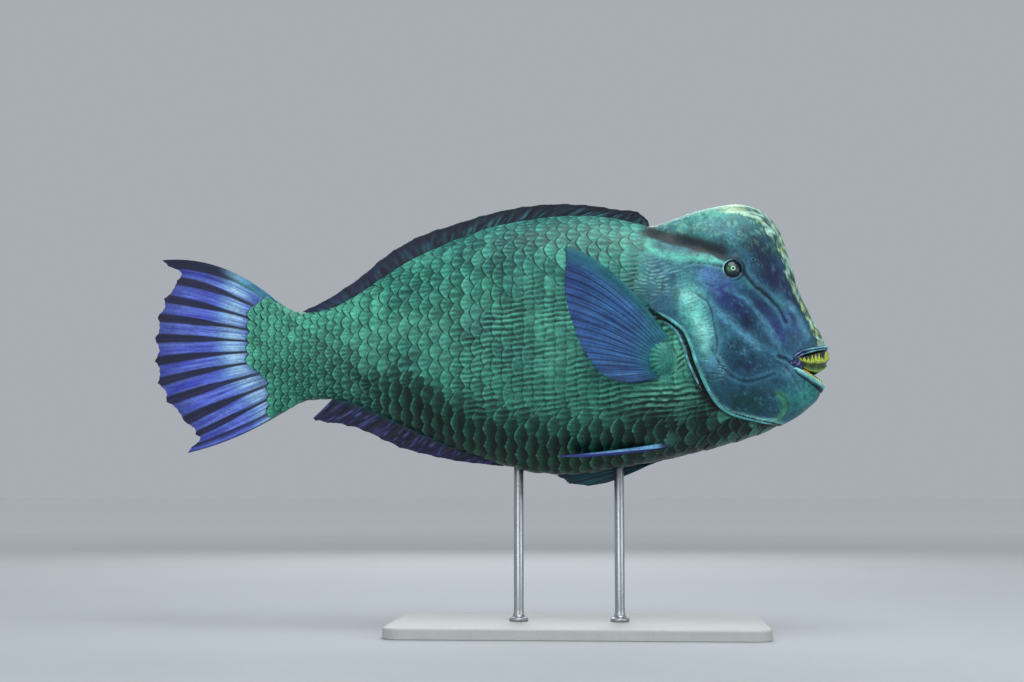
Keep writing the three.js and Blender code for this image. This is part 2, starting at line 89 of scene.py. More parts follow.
def makeCamera():
    camera = bpy.data.objects.new("camera", bpy.data.cameras.new("camera"))
    bpy.context.scene.collection.objects.link(camera)
    turn = math.radians(view["azimuth"])
    rise = math.radians(view["elevation"])
    back = Vector((
        math.sin(turn) * math.cos(rise),
        -math.cos(turn) * math.cos(rise),
        math.sin(rise),
    ))
    target = Vector(toWorld(view["target"]))
    camera.location = target + back * view["distance"]
    camera.rotation_mode = "QUATERNION"
    camera.rotation_quaternion = (-back).to_track_quat("-Z", "Y")
    camera.data.sensor_width = 36
    camera.data.lens = view["lens"]
    bpy.context.scene.camera = camera
    return target


def makeStudio(target):
    world = bpy.data.worlds.new("studio")
    world.use_nodes = True
    sky = world.node_tree.nodes["Background"]
    sky.inputs["Color"].default_value = (*studio["world"], 1)
    sky.inputs["Strength"].default_value = studio["worldStrength"]
    bpy.context.scene.world = world
    bpy.context.scene.view_settings.view_transform = "Standard"
    for name, (spot, size, watts, colour) in studio["lights"].items():
        lamp = bpy.data.lights.new(name, "AREA")
        lamp.size = size
        lamp.energy = watts
        lamp.color = colour
        holder = bpy.data.objects.new(name, lamp)
        holder.location = spot
        holder.rotation_mode = "QUATERNION"
        holder.rotation_quaternion = (target - Vector(spot)).to_track_quat("-Z", "Y")
        bpy.context.scene.collection.objects.link(holder)


makeStudio(makeCamera())

# lines of the body: x and a value there, both in fish mm
backLine = [
    [-402, 98], [-370, 76], [-345, 60], [-316, 49], [-263, 58], [-213, 86], [-137, 135], [-29, 181],
    [44, 198.5], [110, 206], [176, 205], [233, 194], [262, 188], [297, 198], [340, 212], [393, 219.5],
    [424, 214], [450, 197], [470, 168], [482, 128], [497, 76], [516.5, 33], [532.5, 3], [540, -22],
    [542.5, -44],
]
bellyLine = [
    [-402, -150], [-370, -130], [-345, -115], [-315, -99], [-286, -95], [-236, -100], [-153, -134],
    [-72, -171], [-5, -194], [60, -212], [120, -217], [160, -214], [200, -207], [250, -199],
    [336, -182], [431, -154], [489, -127], [512, -110], [524, -98.5], [530, -86], [534, -72],
    [542.5, -56],
]
halfWidthLine = [
    [-402, 8], [-360, 17], [-316, 26], [-250, 38], [-150, 58], [-50, 76], [60, 87], [170, 91],
    [260, 90], [330, 87], [390, 81], [440, 71], [480, 59], [508, 48], [527, 39], [537, 30], [542.5, 16],
]
widestLine = [
    [-402, -20], [-250, -20], [0, -2], [260, -8], [400, -14], [500, -40], [542.5, -50],
]
backFullnessLine = [
    [-402, 2], [200, 1.95], [262, 2], [330, 2.2], [400, 2.55], [542.5, 2.4],
]
bellyFullness = 2.12
gillLine = [
    [262, 230], [256, 120], [254, 42], [284, 25], [306, 8], [318, -17], [326, -43],
    [347, -88], [362, -108], [382, -121], [431, -133], [470, -139], [490, -165],
]
gillSlit = gillLine[2:-1]
hollowLine = [[262, 166], [300, 154], [340, 146], [372, 132]]
eye = {"x": 386.6, "z": 105.7, "radius": 19.0, "sink": 13.5}


def along(line, x):
    pts = np.array(line, float)
    xs, ys = pts[:, 0], pts[:, 1]
    slopes = np.empty(len(xs))
    slopes[1:-1] = (ys[2:] - ys[:-2]) / (xs[2:] - xs[:-2])
    slopes[0] = (ys[1] - ys[0]) / (xs[1] - xs[0])
    slopes[-1] = (ys[-1] - ys[-2]) / (xs[-1] - xs[-2])
    x = np.asarray(x, float)
    i = np.clip(np.searchsorted(xs, x, side="left") - 1, 0, len(xs) - 2)
    width = xs[i + 1] - xs[i]
    t = np.clip((x - xs[i]) / width, 0, 1)
    t2, t3 = t * t, t * t * t
    return (ys[i] * (2 * t3 - 3 * t2 + 1) + ys[i + 1] * (3 * t2 - 2 * t3)
            + slopes[i] * width * (t3 - 2 * t2 + t) + slopes[i + 1] * width * (t3 - t2))


def smooth(value, low, high):
    t = np.clip((np.asarray(value, float) - low) / (high - low), 0, 1)
    return t * t * (3 - 2 * t)


def distanceTo(line, x, z):
    nearest = np.full(np.shape(x), 1e9)
    for start, end in zip(np.array(line[:-1], float), np.array(line[1:], float)):
        edge = end - start
        t = np.clip(((x - start[0]) * edge[0] + (z - start[1]) * edge[1]) / (edge @ edge), 0, 1)
        nearest = np.minimum(nearest, np.hypot(x - start[0] - t * edge[0], z - start[1] - t * edge[1]))
    return nearest


noiseTable = np.random.default_rng(place["seed"]).random((256, 256)) * 2 - 1


def rough(x, y, pitch, shift=0):
    # smooth bumps from -1 to 1, about one every pitch
    u = np.asarray(x, float) / pitch + 17.3 * shift + 500
    v = np.asarray(y, float) / pitch + 31.7 * shift + 500
    i, j = np.floor(u).astype(int), np.floor(v).astype(int)
    a, b = u - i, v - j
    a, b = a * a * (3 - 2 * a), b * b * (3 - 2 * b)
    at = lambda p, q: noiseTable[p % 256, q % 256]
    low = at(i, j) * (1 - a) + at(i + 1, j) * a
    high = at(i, j + 1) * (1 - a) + at(i + 1, j + 1) * a
    return low * (1 - b) + high * b


def skinPoint(x, around, grow=0.0):
    # around is 0 at the back, 0.5 on the right flank, 1 at the belly, 1.5 on the left flank
    angle = np.pi * np.asarray(around, float)
    up, out = np.cos(angle), np.sin(angle)
    widest = along(widestLine, x)
    fullness = np.where(up > 0, along(backFullnessLine, x), bellyFullness)
    reach = np.where(up > 0, along(backLine, x) - widest, widest - along(bellyLine, x))
    power = 2 / fullness
    z = widest + np.sign(up) * (reach + grow) * np.abs(up) ** power
    y = -np.sign(out) * (along(halfWidthLine, x) + grow) * np.abs(out) ** power
    x = np.broadcast_to(x, z.shape)
    return np.stack([x, y, z], -1)


def sidePoint(x, z, side, grow=0.0):
    x, z = np.asarray(x, float), np.asarray(z, float)
    widest = along(widestLine, x)
    above = z > widest
    reach = np.where(above, along(backLine, x) - widest, widest - along(bellyLine, x))
    fullness = np.where(above, along(backFullnessLine, x), bellyFullness)
    rise = np.clip(np.abs(z - widest) / reach, 0, 1)
    y = along(halfWidthLine, x) * (1 - rise ** fullness) ** (1 / fullness)
    return np.stack([x, side * (y + grow), z], -1)


def gillX(z):
    line = np.array(gillLine[::-1], float)
    return np.interp(z, line[:, 1], line[:, 0])


def smoothCurve(points, count):
    # centripetal curve through points, its parameter even from point to point
    pts = np.array(points, float)
    ghost = np.vstack([2 * pts[0] - pts[1], pts, 2 * pts[-1] - pts[-2]])
    out = []
    for u in np.linspace(0, 1, count) * (len(pts) - 1):
        i = min(int(u), len(pts) - 2)
        p0, p1, p2, p3 = ghost[i:i + 4]
        d = [max(np.linalg.norm(b - a), 1e-4) ** 0.5 for a, b in ((p0, p1), (p1, p2), (p2, p3))]
        m1 = ((p1 - p0) / d[0] - (p2 - p0) / (d[0] + d[1]) + (p2 - p1) / d[1]) * d[1]
        m2 = ((p2 - p1) / d[1] - (p3 - p1) / (d[1] + d[2]) + (p3 - p2) / d[2]) * d[1]
        t = u - i
        out.append(p1 * (2 * t**3 - 3 * t**2 + 1) + p2 * (3 * t**2 - 2 * t**3)
                   + m1 * (t**3 - 2 * t**2 + t) + m2 * (t**3 - t**2))
    return np.array(out)


def makePiece(name, points, faces, slot, replaces=(), material=None, uv=None, masks=None, rounded=True):
    # points in fish mm, faces in arrays by their number of corners, uv per corner, masks per point
    mesh = bpy.data.meshes.new(name)
    faces = [np.asarray(f, np.int32) for f in (faces if isinstance(faces, list) else [faces])]
    corners = np.concatenate([f.ravel() for f in faces])
    sizes = np.concatenate([np.full(len(f), f.shape[1], np.int32) for f in faces])
    mesh.vertices.add(len(points))
    mesh.vertices.foreach_set("co", toWorld(points).astype(np.float32).ravel())
    mesh.loops.add(len(corners))
    mesh.loops.foreach_set("vertex_index", corners.astype(np.int32))
    mesh.polygons.add(len(sizes))
    starts = np.concatenate([[0], np.cumsum(sizes)[:-1]]).astype(np.int32)
    mesh.polygons.foreach_set("loop_start", starts)
    mesh.polygons.foreach_set("use_smooth", np.full(len(sizes), rounded))
    mesh.update(calc_edges=True)
    if uv is not None:
        layer = mesh.uv_layers.new(name="OFBake")
        layer.data.foreach_set("uv", np.asarray(uv, np.float32).ravel())
    for key, value in (masks or {}).items():
        addMask(mesh, key, value)
    piece = bpy.data.objects.new(name, mesh)
    bpy.context.scene.collection.objects.link(piece)
    if material:
        mesh.materials.append(material)
    if slot:
        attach(piece, "root")
    if replaces:
        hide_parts(*replaces)
    return piece


def addMask(mesh, key, value):
    value = np.asarray(value, np.float32)
    if value.ndim == 2:
        layer = mesh.color_attributes.new(name=key, type="FLOAT_COLOR", domain="POINT")
        opaque = np.ones((len(value), 1), np.float32)
        layer.data.foreach_set("color", np.hstack([value, opaque]).ravel())
    else:
        layer = mesh.attributes.new(name=key, type="FLOAT", domain="POINT")
        layer.data.foreach_set("value", value)


def gridFaces(rows, columns, closed=False, start=0):
    # quads over a grid of points numbered row by row
    i, j = np.meshgrid(np.arange(rows - 1), np.arange(columns if closed else columns - 1), indexing="ij")
    k = (j + 1) % columns
    a, b = i * columns + j, i * columns + k
    return np.stack([a, b, b + columns, a + columns], -1).reshape(-1, 4) + start


def endFans(rows, count):
    # triangles that close both ends of a tube, to two points added after its own
    k, last = np.arange(count), (rows - 1) * count
    near = np.stack([np.full(count, rows * count), (k + 1) % count, k], -1)
    far = np.stack([np.full(count, rows * count + 1), last + k, last + (k + 1) % count], -1)
    return np.concatenate([near, far])


def facesInward(points, quads, middle=0.0):
    p = points[quads] - middle
    return np.einsum("ij,ij->i", p[:, 0], np.cross(p[:, 1], p[:, 2]) + np.cross(p[:, 2], p[:, 3])).sum() < 0


print("materials")


def addNode(tree, kind, inputs=None, **settings):
    node = tree.nodes.new(kind)
    for key, value in settings.items():
        setattr(node, key, value)
    for key, value in (inputs or {}).items():
        node.inputs[key].default_value = value
    return node


def makeMottleGroup():
    # breaks a colour into small darker and lighter flecks, with a height and a gloss to match
    group = bpy.data.node_groups.new("mottle", "ShaderNodeTree")
    face = group.interface
    face.new_socket("Colour", in_out="INPUT", socket_type="NodeSocketColor")
    for name, start in (("Scale", 60.0), ("Amount", 0.3), ("Stretch", 1.0)):
        face.new_socket(name, in_out="INPUT", socket_type="NodeSocketFloat").default_value = start
    face.new_socket("Colour", in_out="OUTPUT", socket_type="NodeSocketColor")
    face.new_socket("Height", in_out="OUTPUT", socket_type="NodeSocketFloat")
    face.new_socket("Gloss", in_out="OUTPUT", socket_type="NodeSocketFloat")
    enter, leave = group.nodes.new("NodeGroupInput"), group.nodes.new("NodeGroupOutput")
    link = group.links.new
    spot = addNode(group, "ShaderNodeTexCoord")
    squeeze = addNode(group, "ShaderNodeCombineXYZ", {"Y": 1.0, "Z": 1.0})
    link(enter.outputs["Stretch"], squeeze.inputs["X"])
    drawn = addNode(group, "ShaderNodeVectorMath", operation="MULTIPLY")
    link(spot.outputs["Object"], drawn.inputs[0])
    link(squeeze.outputs[0], drawn.inputs[1])
    broad = addNode(group, "ShaderNodeTexNoise", {"Detail": 4.0, "Roughness": 0.6})
    fine = addNode(group, "ShaderNodeTexNoise", {"Detail": 3.0, "Roughness": 0.65, "Distortion": 0.4})
    finer = addNode(group, "ShaderNodeMath", {1: 6.0}, operation="MULTIPLY")
    link(enter.outputs["Scale"], finer.inputs[0])
    link(enter.outputs["Scale"], broad.inputs["Scale"])
    link(finer.outputs[0], fine.inputs["Scale"])
    for texture in (broad, fine):
        link(drawn.outputs[0], texture.inputs["Vector"])
    both = addNode(group, "ShaderNodeMath", operation="ADD")
    link(broad.outputs["Fac"], both.inputs[0])
    link(fine.outputs["Fac"], both.inputs[1])
    reach = {"From Min": 0.75, "From Max": 1.25, "To Min": -1.0, "To Max": 1.0}
    spread = addNode(group, "ShaderNodeMapRange", reach)
    link(both.outputs[0], spread.inputs["Value"])
    force = addNode(group, "ShaderNodeMath", {2: 1.0}, operation="MULTIPLY_ADD")
    link(spread.outputs[0], force.inputs[0])
    link(enter.outputs["Amount"], force.inputs[1])
    tint = addNode(group, "ShaderNodeVectorMath", operation="SCALE")
    link(enter.outputs["Colour"], tint.inputs[0])
    link(force.outputs[0], tint.inputs["Scale"])
    link(tint.outputs[0], leave.inputs["Colour"])
    link(fine.outputs["Fac"], leave.inputs["Height"])
    link(broad.outputs["Fac"], leave.inputs["Gloss"])
    return group


mottle = makeMottleGroup()


def paintedMaterial(name, look):
    # the colour painted on the mesh, broken up by the mottle group
    material = bpy.data.materials.new(name)
    material.use_nodes = True
    tree = material.node_tree
    link = tree.links.new
    shader = tree.nodes["Principled BSDF"]
    shader.inputs["Coat Weight"].default_value = look["coat"]
    shader.inputs["Coat Roughness"].default_value = look["coatRoughness"]
    shader.inputs["Specular IOR Level"].default_value = look.get("specular", 0.5)
    shader.inputs["Metallic"].default_value = look.get("metallic", 0.0)
    paint = addNode(tree, "ShaderNodeAttribute", attribute_name="paint")
    flecks = addNode(tree, "ShaderNodeGroup", node_tree=mottle)
    flecks.inputs["Scale"].default_value = look["scale"]
    flecks.inputs["Amount"].default_value = look["amount"]
    flecks.inputs["Stretch"].default_value = look.get("stretch", 1.0)
    link(paint.outputs["Color"], flecks.inputs["Colour"])
    link(flecks.outputs["Colour"], shader.inputs["Base Color"])
    low, high = look["roughness"]
    reach = {"From Min": 0.3, "From Max": 0.7, "To Min": low, "To Max": high}
    gloss = addNode(tree, "ShaderNodeMapRange", reach)
    link(flecks.outputs["Gloss"], gloss.inputs["Value"])
    link(gloss.outputs[0], shader.inputs["Roughness"])
    bump = addNode(tree, "ShaderNodeBump", {"Strength": look["bump"], "Distance": 0.001})
    link(flecks.outputs["Height"], bump.inputs["Height"])
    link(bump.outputs[0], shader.inputs["Normal"])
    return material


finishes = {
    # scale of the flecks per metre, their strength, bump, roughness from and to
    "skin": dict(scale=62, amount=0.42, bump=0.45, roughness=(0.34, 0.55), coat=0.06, coatRoughness=0.25,
                 specular=0.25),
    "scales": dict(scale=55, amount=0.42, bump=0.35, roughness=(0.34, 0.55), coat=0.06, coatRoughness=0.25,
                   specular=0.24),
    "fins": dict(scale=60, amount=0.34, bump=0.25, roughness=(0.36, 0.55), coat=0.06, coatRoughness=0.25,
                 specular=0.24, stretch=0.5),
    "beak": dict(scale=170, amount=0.35, bump=0.4, roughness=(0.25, 0.42), coat=0.3, coatRoughness=0.15,
                 specular=0.4),
    "mouth": dict(scale=120, amount=0.3, bump=0.5, roughness=(0.5, 0.7), coat=0.0, coatRoughness=0.3,
                  specular=0.2),
    "stand": dict(scale=40, amount=0.05, bump=0.15, roughness=(0.45, 0.6), coat=0.0, coatRoughness=0.3),
    "rod": dict(scale=25, amount=0.08, bump=0.10, roughness=(0.24, 0.4), coat=0.0, coatRoughness=0.3,
                metallic=1.0),
    "eye": dict(scale=260, amount=0.15, bump=0.0, roughness=(0.12, 0.18), coat=0.25, coatRoughness=0.03,
                specular=0.3),
    "floor": dict(scale=6, amount=0.02, bump=0.03, roughness=(0.7, 0.8), coat=0.0, coatRoughness=0.3,
                  specular=0.2),
}
finish = {name: paintedMaterial(name, look) for name, look in finishes.items()}


def colour(r, g, b):
    # a screen colour, 0 to 255, as the renderer's own
    c = np.array([r, g, b], float) / 255
    return np.where(c <= 0.04045, c / 12.92, ((c + 0.055) / 1.055) ** 2.4)


def tinted(base, amount, over):
    amount = np.clip(np.asarray(amount, float), 0, 1)[..., None]
    return base * (1 - amount) + np.asarray(over) * amount


print("floor and stand")


def makeFloor():
    sectors = 96
    turns = np.linspace(0, 2 * np.pi, sectors + 1)[:-1]
    rings = [0.4, 0.9, 1.5, 2.2, 3.2, 4.5, 6.5, 9, 14, studio["floorRadius"]]
    points = [[0, 0, 0]] + [[r * np.cos(a), r * np.sin(a), 0] for r in rings for a in turns]
    middle = np.array([[0, 1 + k, 1 + (k + 1) % sectors] for k in range(sectors)])
    faces = [gridFaces(len(rings), sectors, closed=True, start=1)[:, ::-1], middle]
    # paler far away, where less light falls
    far = smooth(np.linalg.norm(points, axis=1), 0.8, 6.5)
    paint = tinted(np.tile(studio["floorNear"], (len(points), 1)), far, studio["floorFar"])
    floor = makePiece("floor", fromWorld(points), faces, None, material=finish["floor"], masks={"paint": paint})


makeFloor()

stand = {
    "paint": (185, 188, 184),
    "steel": (180, 184, 188),
    "corner": 0.03,       # metres, as are the next two
    "footBevel": 0.0015,
    "topRound": 0.003,
    "rodSides": 48,
}


def makeStandPiece(node, rings, slot, look, shade, rounded):
    # rings of points in metres, one above the other, closed by a face at each end
    count = len(rings[0])
    ends = [np.arange(count)[None, ::-1], (len(rings) - 1) * count + np.arange(count)[None]]
    faces = [gridFaces(len(rings), count, closed=True)] + ends
    points = fromWorld(np.array(rings).reshape(-1, 3))
    shading = np.full((len(rings) - 1) * count + 2, rounded)
    shading[-2:] = False
    makePiece(node + "_finish", points, faces, slot, [node], finish[look],
              masks={"paint": np.tile(colour(*shade), (len(points), 1))}, rounded=shading)


def makeStandBase():
    low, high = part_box("stand_base")
    corner, bevel, edge = stand["corner"], stand["footBevel"], stand["topRound"]
    outline = []
    for x, y, start in ((high.x, low.y, -90), (high.x, high.y, 0), (low.x, high.y, 90), (low.x, low.y, 180)):
        for turn in np.radians(start + np.linspace(0, 90, 13)):
            outline.append((x - math.copysign(corner, x), y - math.copysign(corner, y),
                            math.cos(turn), math.sin(turn)))
    # height and inset of each ring
    steps = [(0.0, bevel), (bevel, 0.0), (high.z - edge, 0.0)]
    steps += [(high.z - edge + edge * math.sin(a), edge * (1 - math.cos(a)))
              for a in np.linspace(0.2, np.pi / 2, 6)]
    rings = [[(x + (corner - inset) * c, y + (corner - inset) * s, z) for x, y, c, s in outline]
             for z, inset in steps]
    makeStandPiece("stand_base", rings, "base_paint", "stand", stand["paint"], False)


def makeRod(node):
    low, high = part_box(node)
    cx, cy = (low.x + high.x) / 2, (low.y + high.y) / 2
    radius = (high.x - low.x) / 2
    # height and radius of the turned foot, then of the rod
    foot = [(0.0, 1.9), (0.004, 1.9), (0.0055, 1.8), (0.006, 1.55), (0.008, 1.25), (0.012, 1.05),
            (0.018, 1.0)]
    profile = [(low.z + h, r) for h, r in foot] + [(high.z - 0.001, 1.0), (high.z, 0.9)]
    turns = np.linspace(0, 2 * np.pi, stand["rodSides"] + 1)[:-1]
    rings = [[(cx + radius * r * np.cos(a), cy + radius * r * np.sin(a), z) for a in turns]
             for z, r in profile]
    makeStandPiece(node, rings, "rod_steel", "rod", stand["steel"], True)


makeStandBase()
for rod in ("stand_rod_front", "stand_rod_rear"):
    makeRod(rod)

print("skin")

skin = {
    "sunk": 2.2,          # scaled body below the solids, which the scales fill
    "gillLift": 5.0,
    "gillReach": 70.0,
    "slitDepth": 4.5,
    "slitWidth": 7.0,
    "hollowDepth": 6.5,
    "hollowReach": 24.0,
    "keelRise": 2.4,
    "pad": {"x": 271, "z": -37, "halfLong": 26, "halfTall": 33, "rise": 11.0},
    "around": 352,
    "snout": 542.5,
    "tail": -402.0,
}
# folds of the face: line in side view, depth and width in mm
faceFolds = [
    ([[398, 110], [405.8, 97.8], [420.6, 79.8], [440.5, 64.3], [459, 45.3], [471, 22]], 1.9, 3.2),
    ([[372, 108], [356, 113.5], [340, 116], [322, 116.5], [310, 113]], 1.5, 2.0),
    ([[310, 113], [302, 108], [290, 103.5], [276, 100.5], [262, 101]], 0.9, 1.8),
    ([[375, 73], [390, 67], [405.5, 59], [417, 46], [428, 33], [439, 18], [450, 4]], 0.45, 1.6),
    ([[329, 65.7], [346.5, 53], [352.6, 37.7], [356, 15], [360.8, -10], [358, -30.5]], 1.4, 2.4),
    ([[352, -22], [357, -34], [366, -49], [379, -62], [393, -70], [407, -73], [421, -71], [436, -66],
      [452, -60]], 1.2, 2.4),
    ([[458.6, -32], [470.6, -37], [482.5, -46]], 2.6, 3.0),
    ([[404, -22], [424, -18], [444, -22]], 0.7, 2.0),
    ([[340, -58], [352, -60], [366, -58]], 0.8, 1.6),
    ([[338, -66], [354, -69], [370, -66]], 0.8, 1.6),
    ([[340, 84], [352, 78], [366, 82], [376, 92]], 0.7, 2.0),
    ([[447, -95], [458, -91], [468, -97], [474, -108], [473, -119], [466, -130]], 0.8, 2.4),
    ([[470, -50], [480, -62], [489, -76], [492, -86]], 1.0, 2.4),
    ([[500, -70], [496, -84], [502, -98]], 0.8, 2.6),
]
# pale inner edge of the rough strip down the forehead
forehead = [
    [350, 206], [400, 199], [430, 186], [450, 166], [459, 148], [467, 124], [477, 99],
    [487, 71], [499, 42], [508, 20], [517, 4], [520, -14],
]


def inFrontOfGill(x, z):
    return x - gillX(z)


def roughStrip(x, y, z):
    # 1 on the rough front of the forehead, 0 beside it, with a ragged edge
    line = np.array(forehead, float)
    edgeX = np.interp(-z, -line[:, 1], line[:, 0])
    ragged = 5.5 * rough(z, y, 13, 1) + 3.4 * rough(z, y, 4.6, 2)
    inner = smooth(x - edgeX + ragged, -1.2, 1.8)
    return inner * smooth(x, 360, 420) * smooth(z, -20, -8)


def padReach(x, z):
    # 0 in the middle of the fin's fleshy root, 1 at its rim
    pad = skin["pad"]
    return np.hypot((x - pad["x"]) / pad["halfLong"], (z - pad["z"]) / pad["halfTall"])


def padRise(x, z):
    reach = padReach(x, z) + 0.05 * rough(x, z, 16, 24)
    return skin["pad"]["rise"] * smooth(1 - reach, 0, 0.62)


def padArcs(x, z):
    # fine arcs round the pad and rays over its rear, -1 in a groove and 1 on a crest
    pad = skin["pad"]
    reach = padReach(x, z)
    arcs = np.sin(2 * np.pi * (reach * 8.5 + 0.25 * rough(x, z, 12, 25))) * smooth(reach, 0.45, 0.6)
    turn = np.arctan2(z - pad["z"], x - pad["x"] - 20)
    rays = np.sin(turn * 26 + 0.5 * rough(x, z, 9, 26)) * smooth(pad["x"] + 6 - x, 0, 10)
    return (0.7 * arcs + 0.8 * rays) * smooth(reach, 1.22, 0.95)


def foldPatch(x, z):
    # where thick folds of skin lie between the fin and the gill opening
    upper = blob(x, z, 298, -40, 17, 30, -28)
    lower = blob(x, z, 276, -95, 58, 22, 4)
    patch = np.clip(1.5 * np.maximum(upper, lower) - 0.25, 0, 1)
    return patch * smooth(padReach(x, z), 0.9, 1.15) * smooth(inFrontOfGill(x, z), -3, -8)


def foldWave(x, z):
    # -1 deep between two folds, 1 on top of one
    slope = 0.80 * smooth(z, -78, -52) + 0.06
    lie = z - slope * (x - 296) + 2.6 * rough(x, z, 21, 10) + 1.1 * rough(x, z, 8, 27)
    return 1 - 2 * np.abs(np.cos(np.pi * lie / 9.4)) ** 1.8


def wrinkles(x, z):
    # fine level wrinkles over the nape and the rear of the gill cover, and how strong they are
    lie = z - 0.16 * (x - 290) + 2.4 * rough(x, z, 19, 7) + 0.8 * rough(x, z, 7, 28)
    where = blob(x, z, 262, 92, 44, 34) * smooth(rough(x, z, 16, 29), -0.8, 0.3)
    return np.sin(2 * np.pi * lie / 5.6), np.clip(1.3 * where, 0, 1)


def combLines(x, z):
    # short level lines on both sides of the cover's bulge
    lie = z + 2.2 * rough(x, z, 17, 6)
    bulge = 338 - 0.28 * (z - 20)
    where = np.exp(-((np.abs(x - bulge) - 8) / 6.5) ** 2) * smooth(z, -78, -56) * smooth(z, 84, 62)
    where = where * smooth(rough(x, z, 10, 30), -0.7, 0.4)
    return np.sin(2 * np.pi * lie / 4.3), np.clip(where, 0, 1)


def headWeight(x, z):
    # 0 on the scaled body, 1 on the head; sharp at the gill opening, wide over the nape
    front = inFrontOfGill(x, z)
    wide = smooth(front, -38, 18)
    return wide + (smooth(front, -1, 1) - wide) * smooth(z, 62, 34)


def skinRise(x, around):
    # how far the skin stands out of the plain body at a place
    base = skinPoint(x, around)
    y, z = base[..., 1], base[..., 2]
    side = np.abs(np.sin(np.pi * around))
    flank = side ** 0.5
    front = inFrontOfGill(x, z)
    gill = distanceTo(gillSlit, x, z)
    lowSide = smooth(z, 58, 30)
    onHead = smooth(front, -1.0, 1.0)
    headward = headWeight(x, z)
    rise = headward * skin["gillLift"] * (1 - smooth(gill, 0, skin["gillReach"])) * flank
    slit = skin["slitDepth"] * np.exp(-(gill / skin["slitWidth"]) ** 2) * (1 - onHead) * lowSide
    rise -= slit * smooth(z, -150, -132)
    rise -= skin["sunk"] * (1 - headward)
    hollow = distanceTo(hollowLine, x, z)
    dip = (1 - smooth(hollow, 0, skin["hollowReach"])) * smooth(x, 262, 312)
    rise -= skin["hollowDepth"] * dip * flank * headward
    strip = roughStrip(x, y, z) * headward
    middle = np.exp(-(y / 12) ** 2)
    rise += strip * (0.7 + 0.9 * rough(y, z, 5, 3) + 0.6 * rough(y, z, 2.7, 4))
    rise += skin["keelRise"] * middle * smooth(x, 345, 430) * smooth(z, 0, 60)
    face = smooth(front, 2, 12)
    fade = face * (side > 0.1)
    for line, depth, width in faceFolds:
        away = distanceTo(line, x, z) + 0.5 * rough(x, z, 9, 5)
        rise += fade * depth * (0.45 * np.exp(-((away - 1.9 * width) / width) ** 2)
                                - np.exp(-(away / width) ** 2))
    # short level creases behind the cheek, longer soft ones on the chin
    wave, force = combLines(x, z)
    rise += 0.75 * wave * force * face
    wave, force = wrinkles(x, z)
    rise += 0.55 * wave * force * (side > 0.1)
    rise += face * (0.40 * rough(x, z, 17, 8) + 0.16 * rough(x, z, 5.5, 9)) * (side > 0.1)
    # the cheek swells under the eye and behind the mouth
    rise += face * 1.6 * np.exp(-(((x - 420) / 34) ** 2 + ((z + 36) / 30) ** 2))
    rise += face * 1.2 * np.exp(-(((x - 366) / 26) ** 2 + ((z - 128) / 10) ** 2))
    # fleshy folds between the pectoral fin and the gill opening
    behind = (side > 0.3) * (1 - onHead)
    rise += behind * foldPatch(x, z) * (2.6 + 2.4 * foldWave(x, z))
    rise += behind * (padRise(x, z) + 0.45 * padArcs(x, z))
    socket = np.hypot(x - eye["x"], z - eye["z"])
    rise += 1.4 * np.exp(-((socket - 19) / 5) ** 2) * (side > 0.3) * face
    return rise


def skinSteps():
    body = np.arange(skin["tail"], 244, 6.5)
    head = np.arange(244, 530, 1.8)
    snout = np.arange(530, skin["snout"], 1.0)
    return np.concatenate([body, head, snout, [skin["snout"]]])


def aroundOf(p):
    # the place around the body of points on it, 0 to 2
    x, y, z = p[:, 0], p[:, 1], p[:, 2]
    widest = along(widestLine, x)
    above = z > widest
    reach = np.where(above, along(backLine, x) - widest, widest - along(bellyLine, x))
    power = np.where(above, along(backFullnessLine, x), bellyFullness) / 2
    up = (np.abs(z - widest) / reach) ** power * np.where(above, 1, -1)
    out = (np.abs(y) / along(halfWidthLine, x)) ** power
    turn = np.arctan2(out, up) / np.pi
    return np.where(y > 0, 2 - turn, turn)


def makeTool(points, faces, material):
    # a closed shape in fish mm, only there to cut with
    mesh = bpy.data.meshes.new("tool")
    mesh.from_pydata(toWorld(points).tolist(), [], faces)
    mesh.materials.append(material)
    tool = bpy.data.objects.new("tool", mesh)
    bpy.context.scene.collection.objects.link(tool)
    return tool


def sideBlade(outline, reach, material):
    # an outline in side view pushed through from side to side
    count = len(outline)
    points = [[x, y, z] for y in (-reach, reach) for x, z in outline]
    area = sum(a[0] * b[1] - b[0] * a[1] for a, b in zip(outline, outline[1:] + outline[:1]))
    near, far = list(range(count)), [count + k for k in range(count)]
    walls = [[k, count + k, count + (k + 1) % count, (k + 1) % count] for k in range(count)]
    faces = [near, far[::-1]] + walls
    if area < 0:
        faces = [f[::-1] for f in faces]
    return makeTool(points, faces, material)


def ball(centre, radius, material, squash=(1, 1, 1), segments=48):
    a = np.linspace(0, 2 * np.pi, segments + 1)[:-1]
    b = np.linspace(0, np.pi, segments // 2 + 1)[1:-1]
    rings = [[(np.sin(t) * np.cos(u), np.sin(t) * np.sin(u), np.cos(t)) for u in a] for t in b]
    points = np.vstack([np.array(rings).reshape(-1, 3), [[0, 0, 1], [0, 0, -1]]])
    top, low = len(points) - 2, len(points) - 1
    last = (len(b) - 1) * segments
    faces = [f[::-1].tolist() for f in gridFaces(len(b), segments, closed=True)]
    faces += [[top, k, (k + 1) % segments] for k in range(segments)]
    faces += [[low, last + (k + 1) % segments, last + k] for k in range(segments)]
    return makeTool(points * radius * np.array(squash) + centre, faces, material)


def cutAway(piece, tools):
    for tool in tools:
        cut = piece.modifiers.new("cut", "BOOLEAN")
        cut.operation = "DIFFERENCE"
        cut.solver = "MANIFOLD"
        cut.object = tool
        cut.material_mode = "TRANSFER"
    graph = bpy.context.evaluated_depsgraph_get()
    result = bpy.data.meshes.new_from_object(piece.evaluated_get(graph))
    piece.modifiers.clear()
    old = piece.data
    piece.data = result
    bpy.data.meshes.remove(old)
    for tool in tools:
        bpy.data.objects.remove(tool)


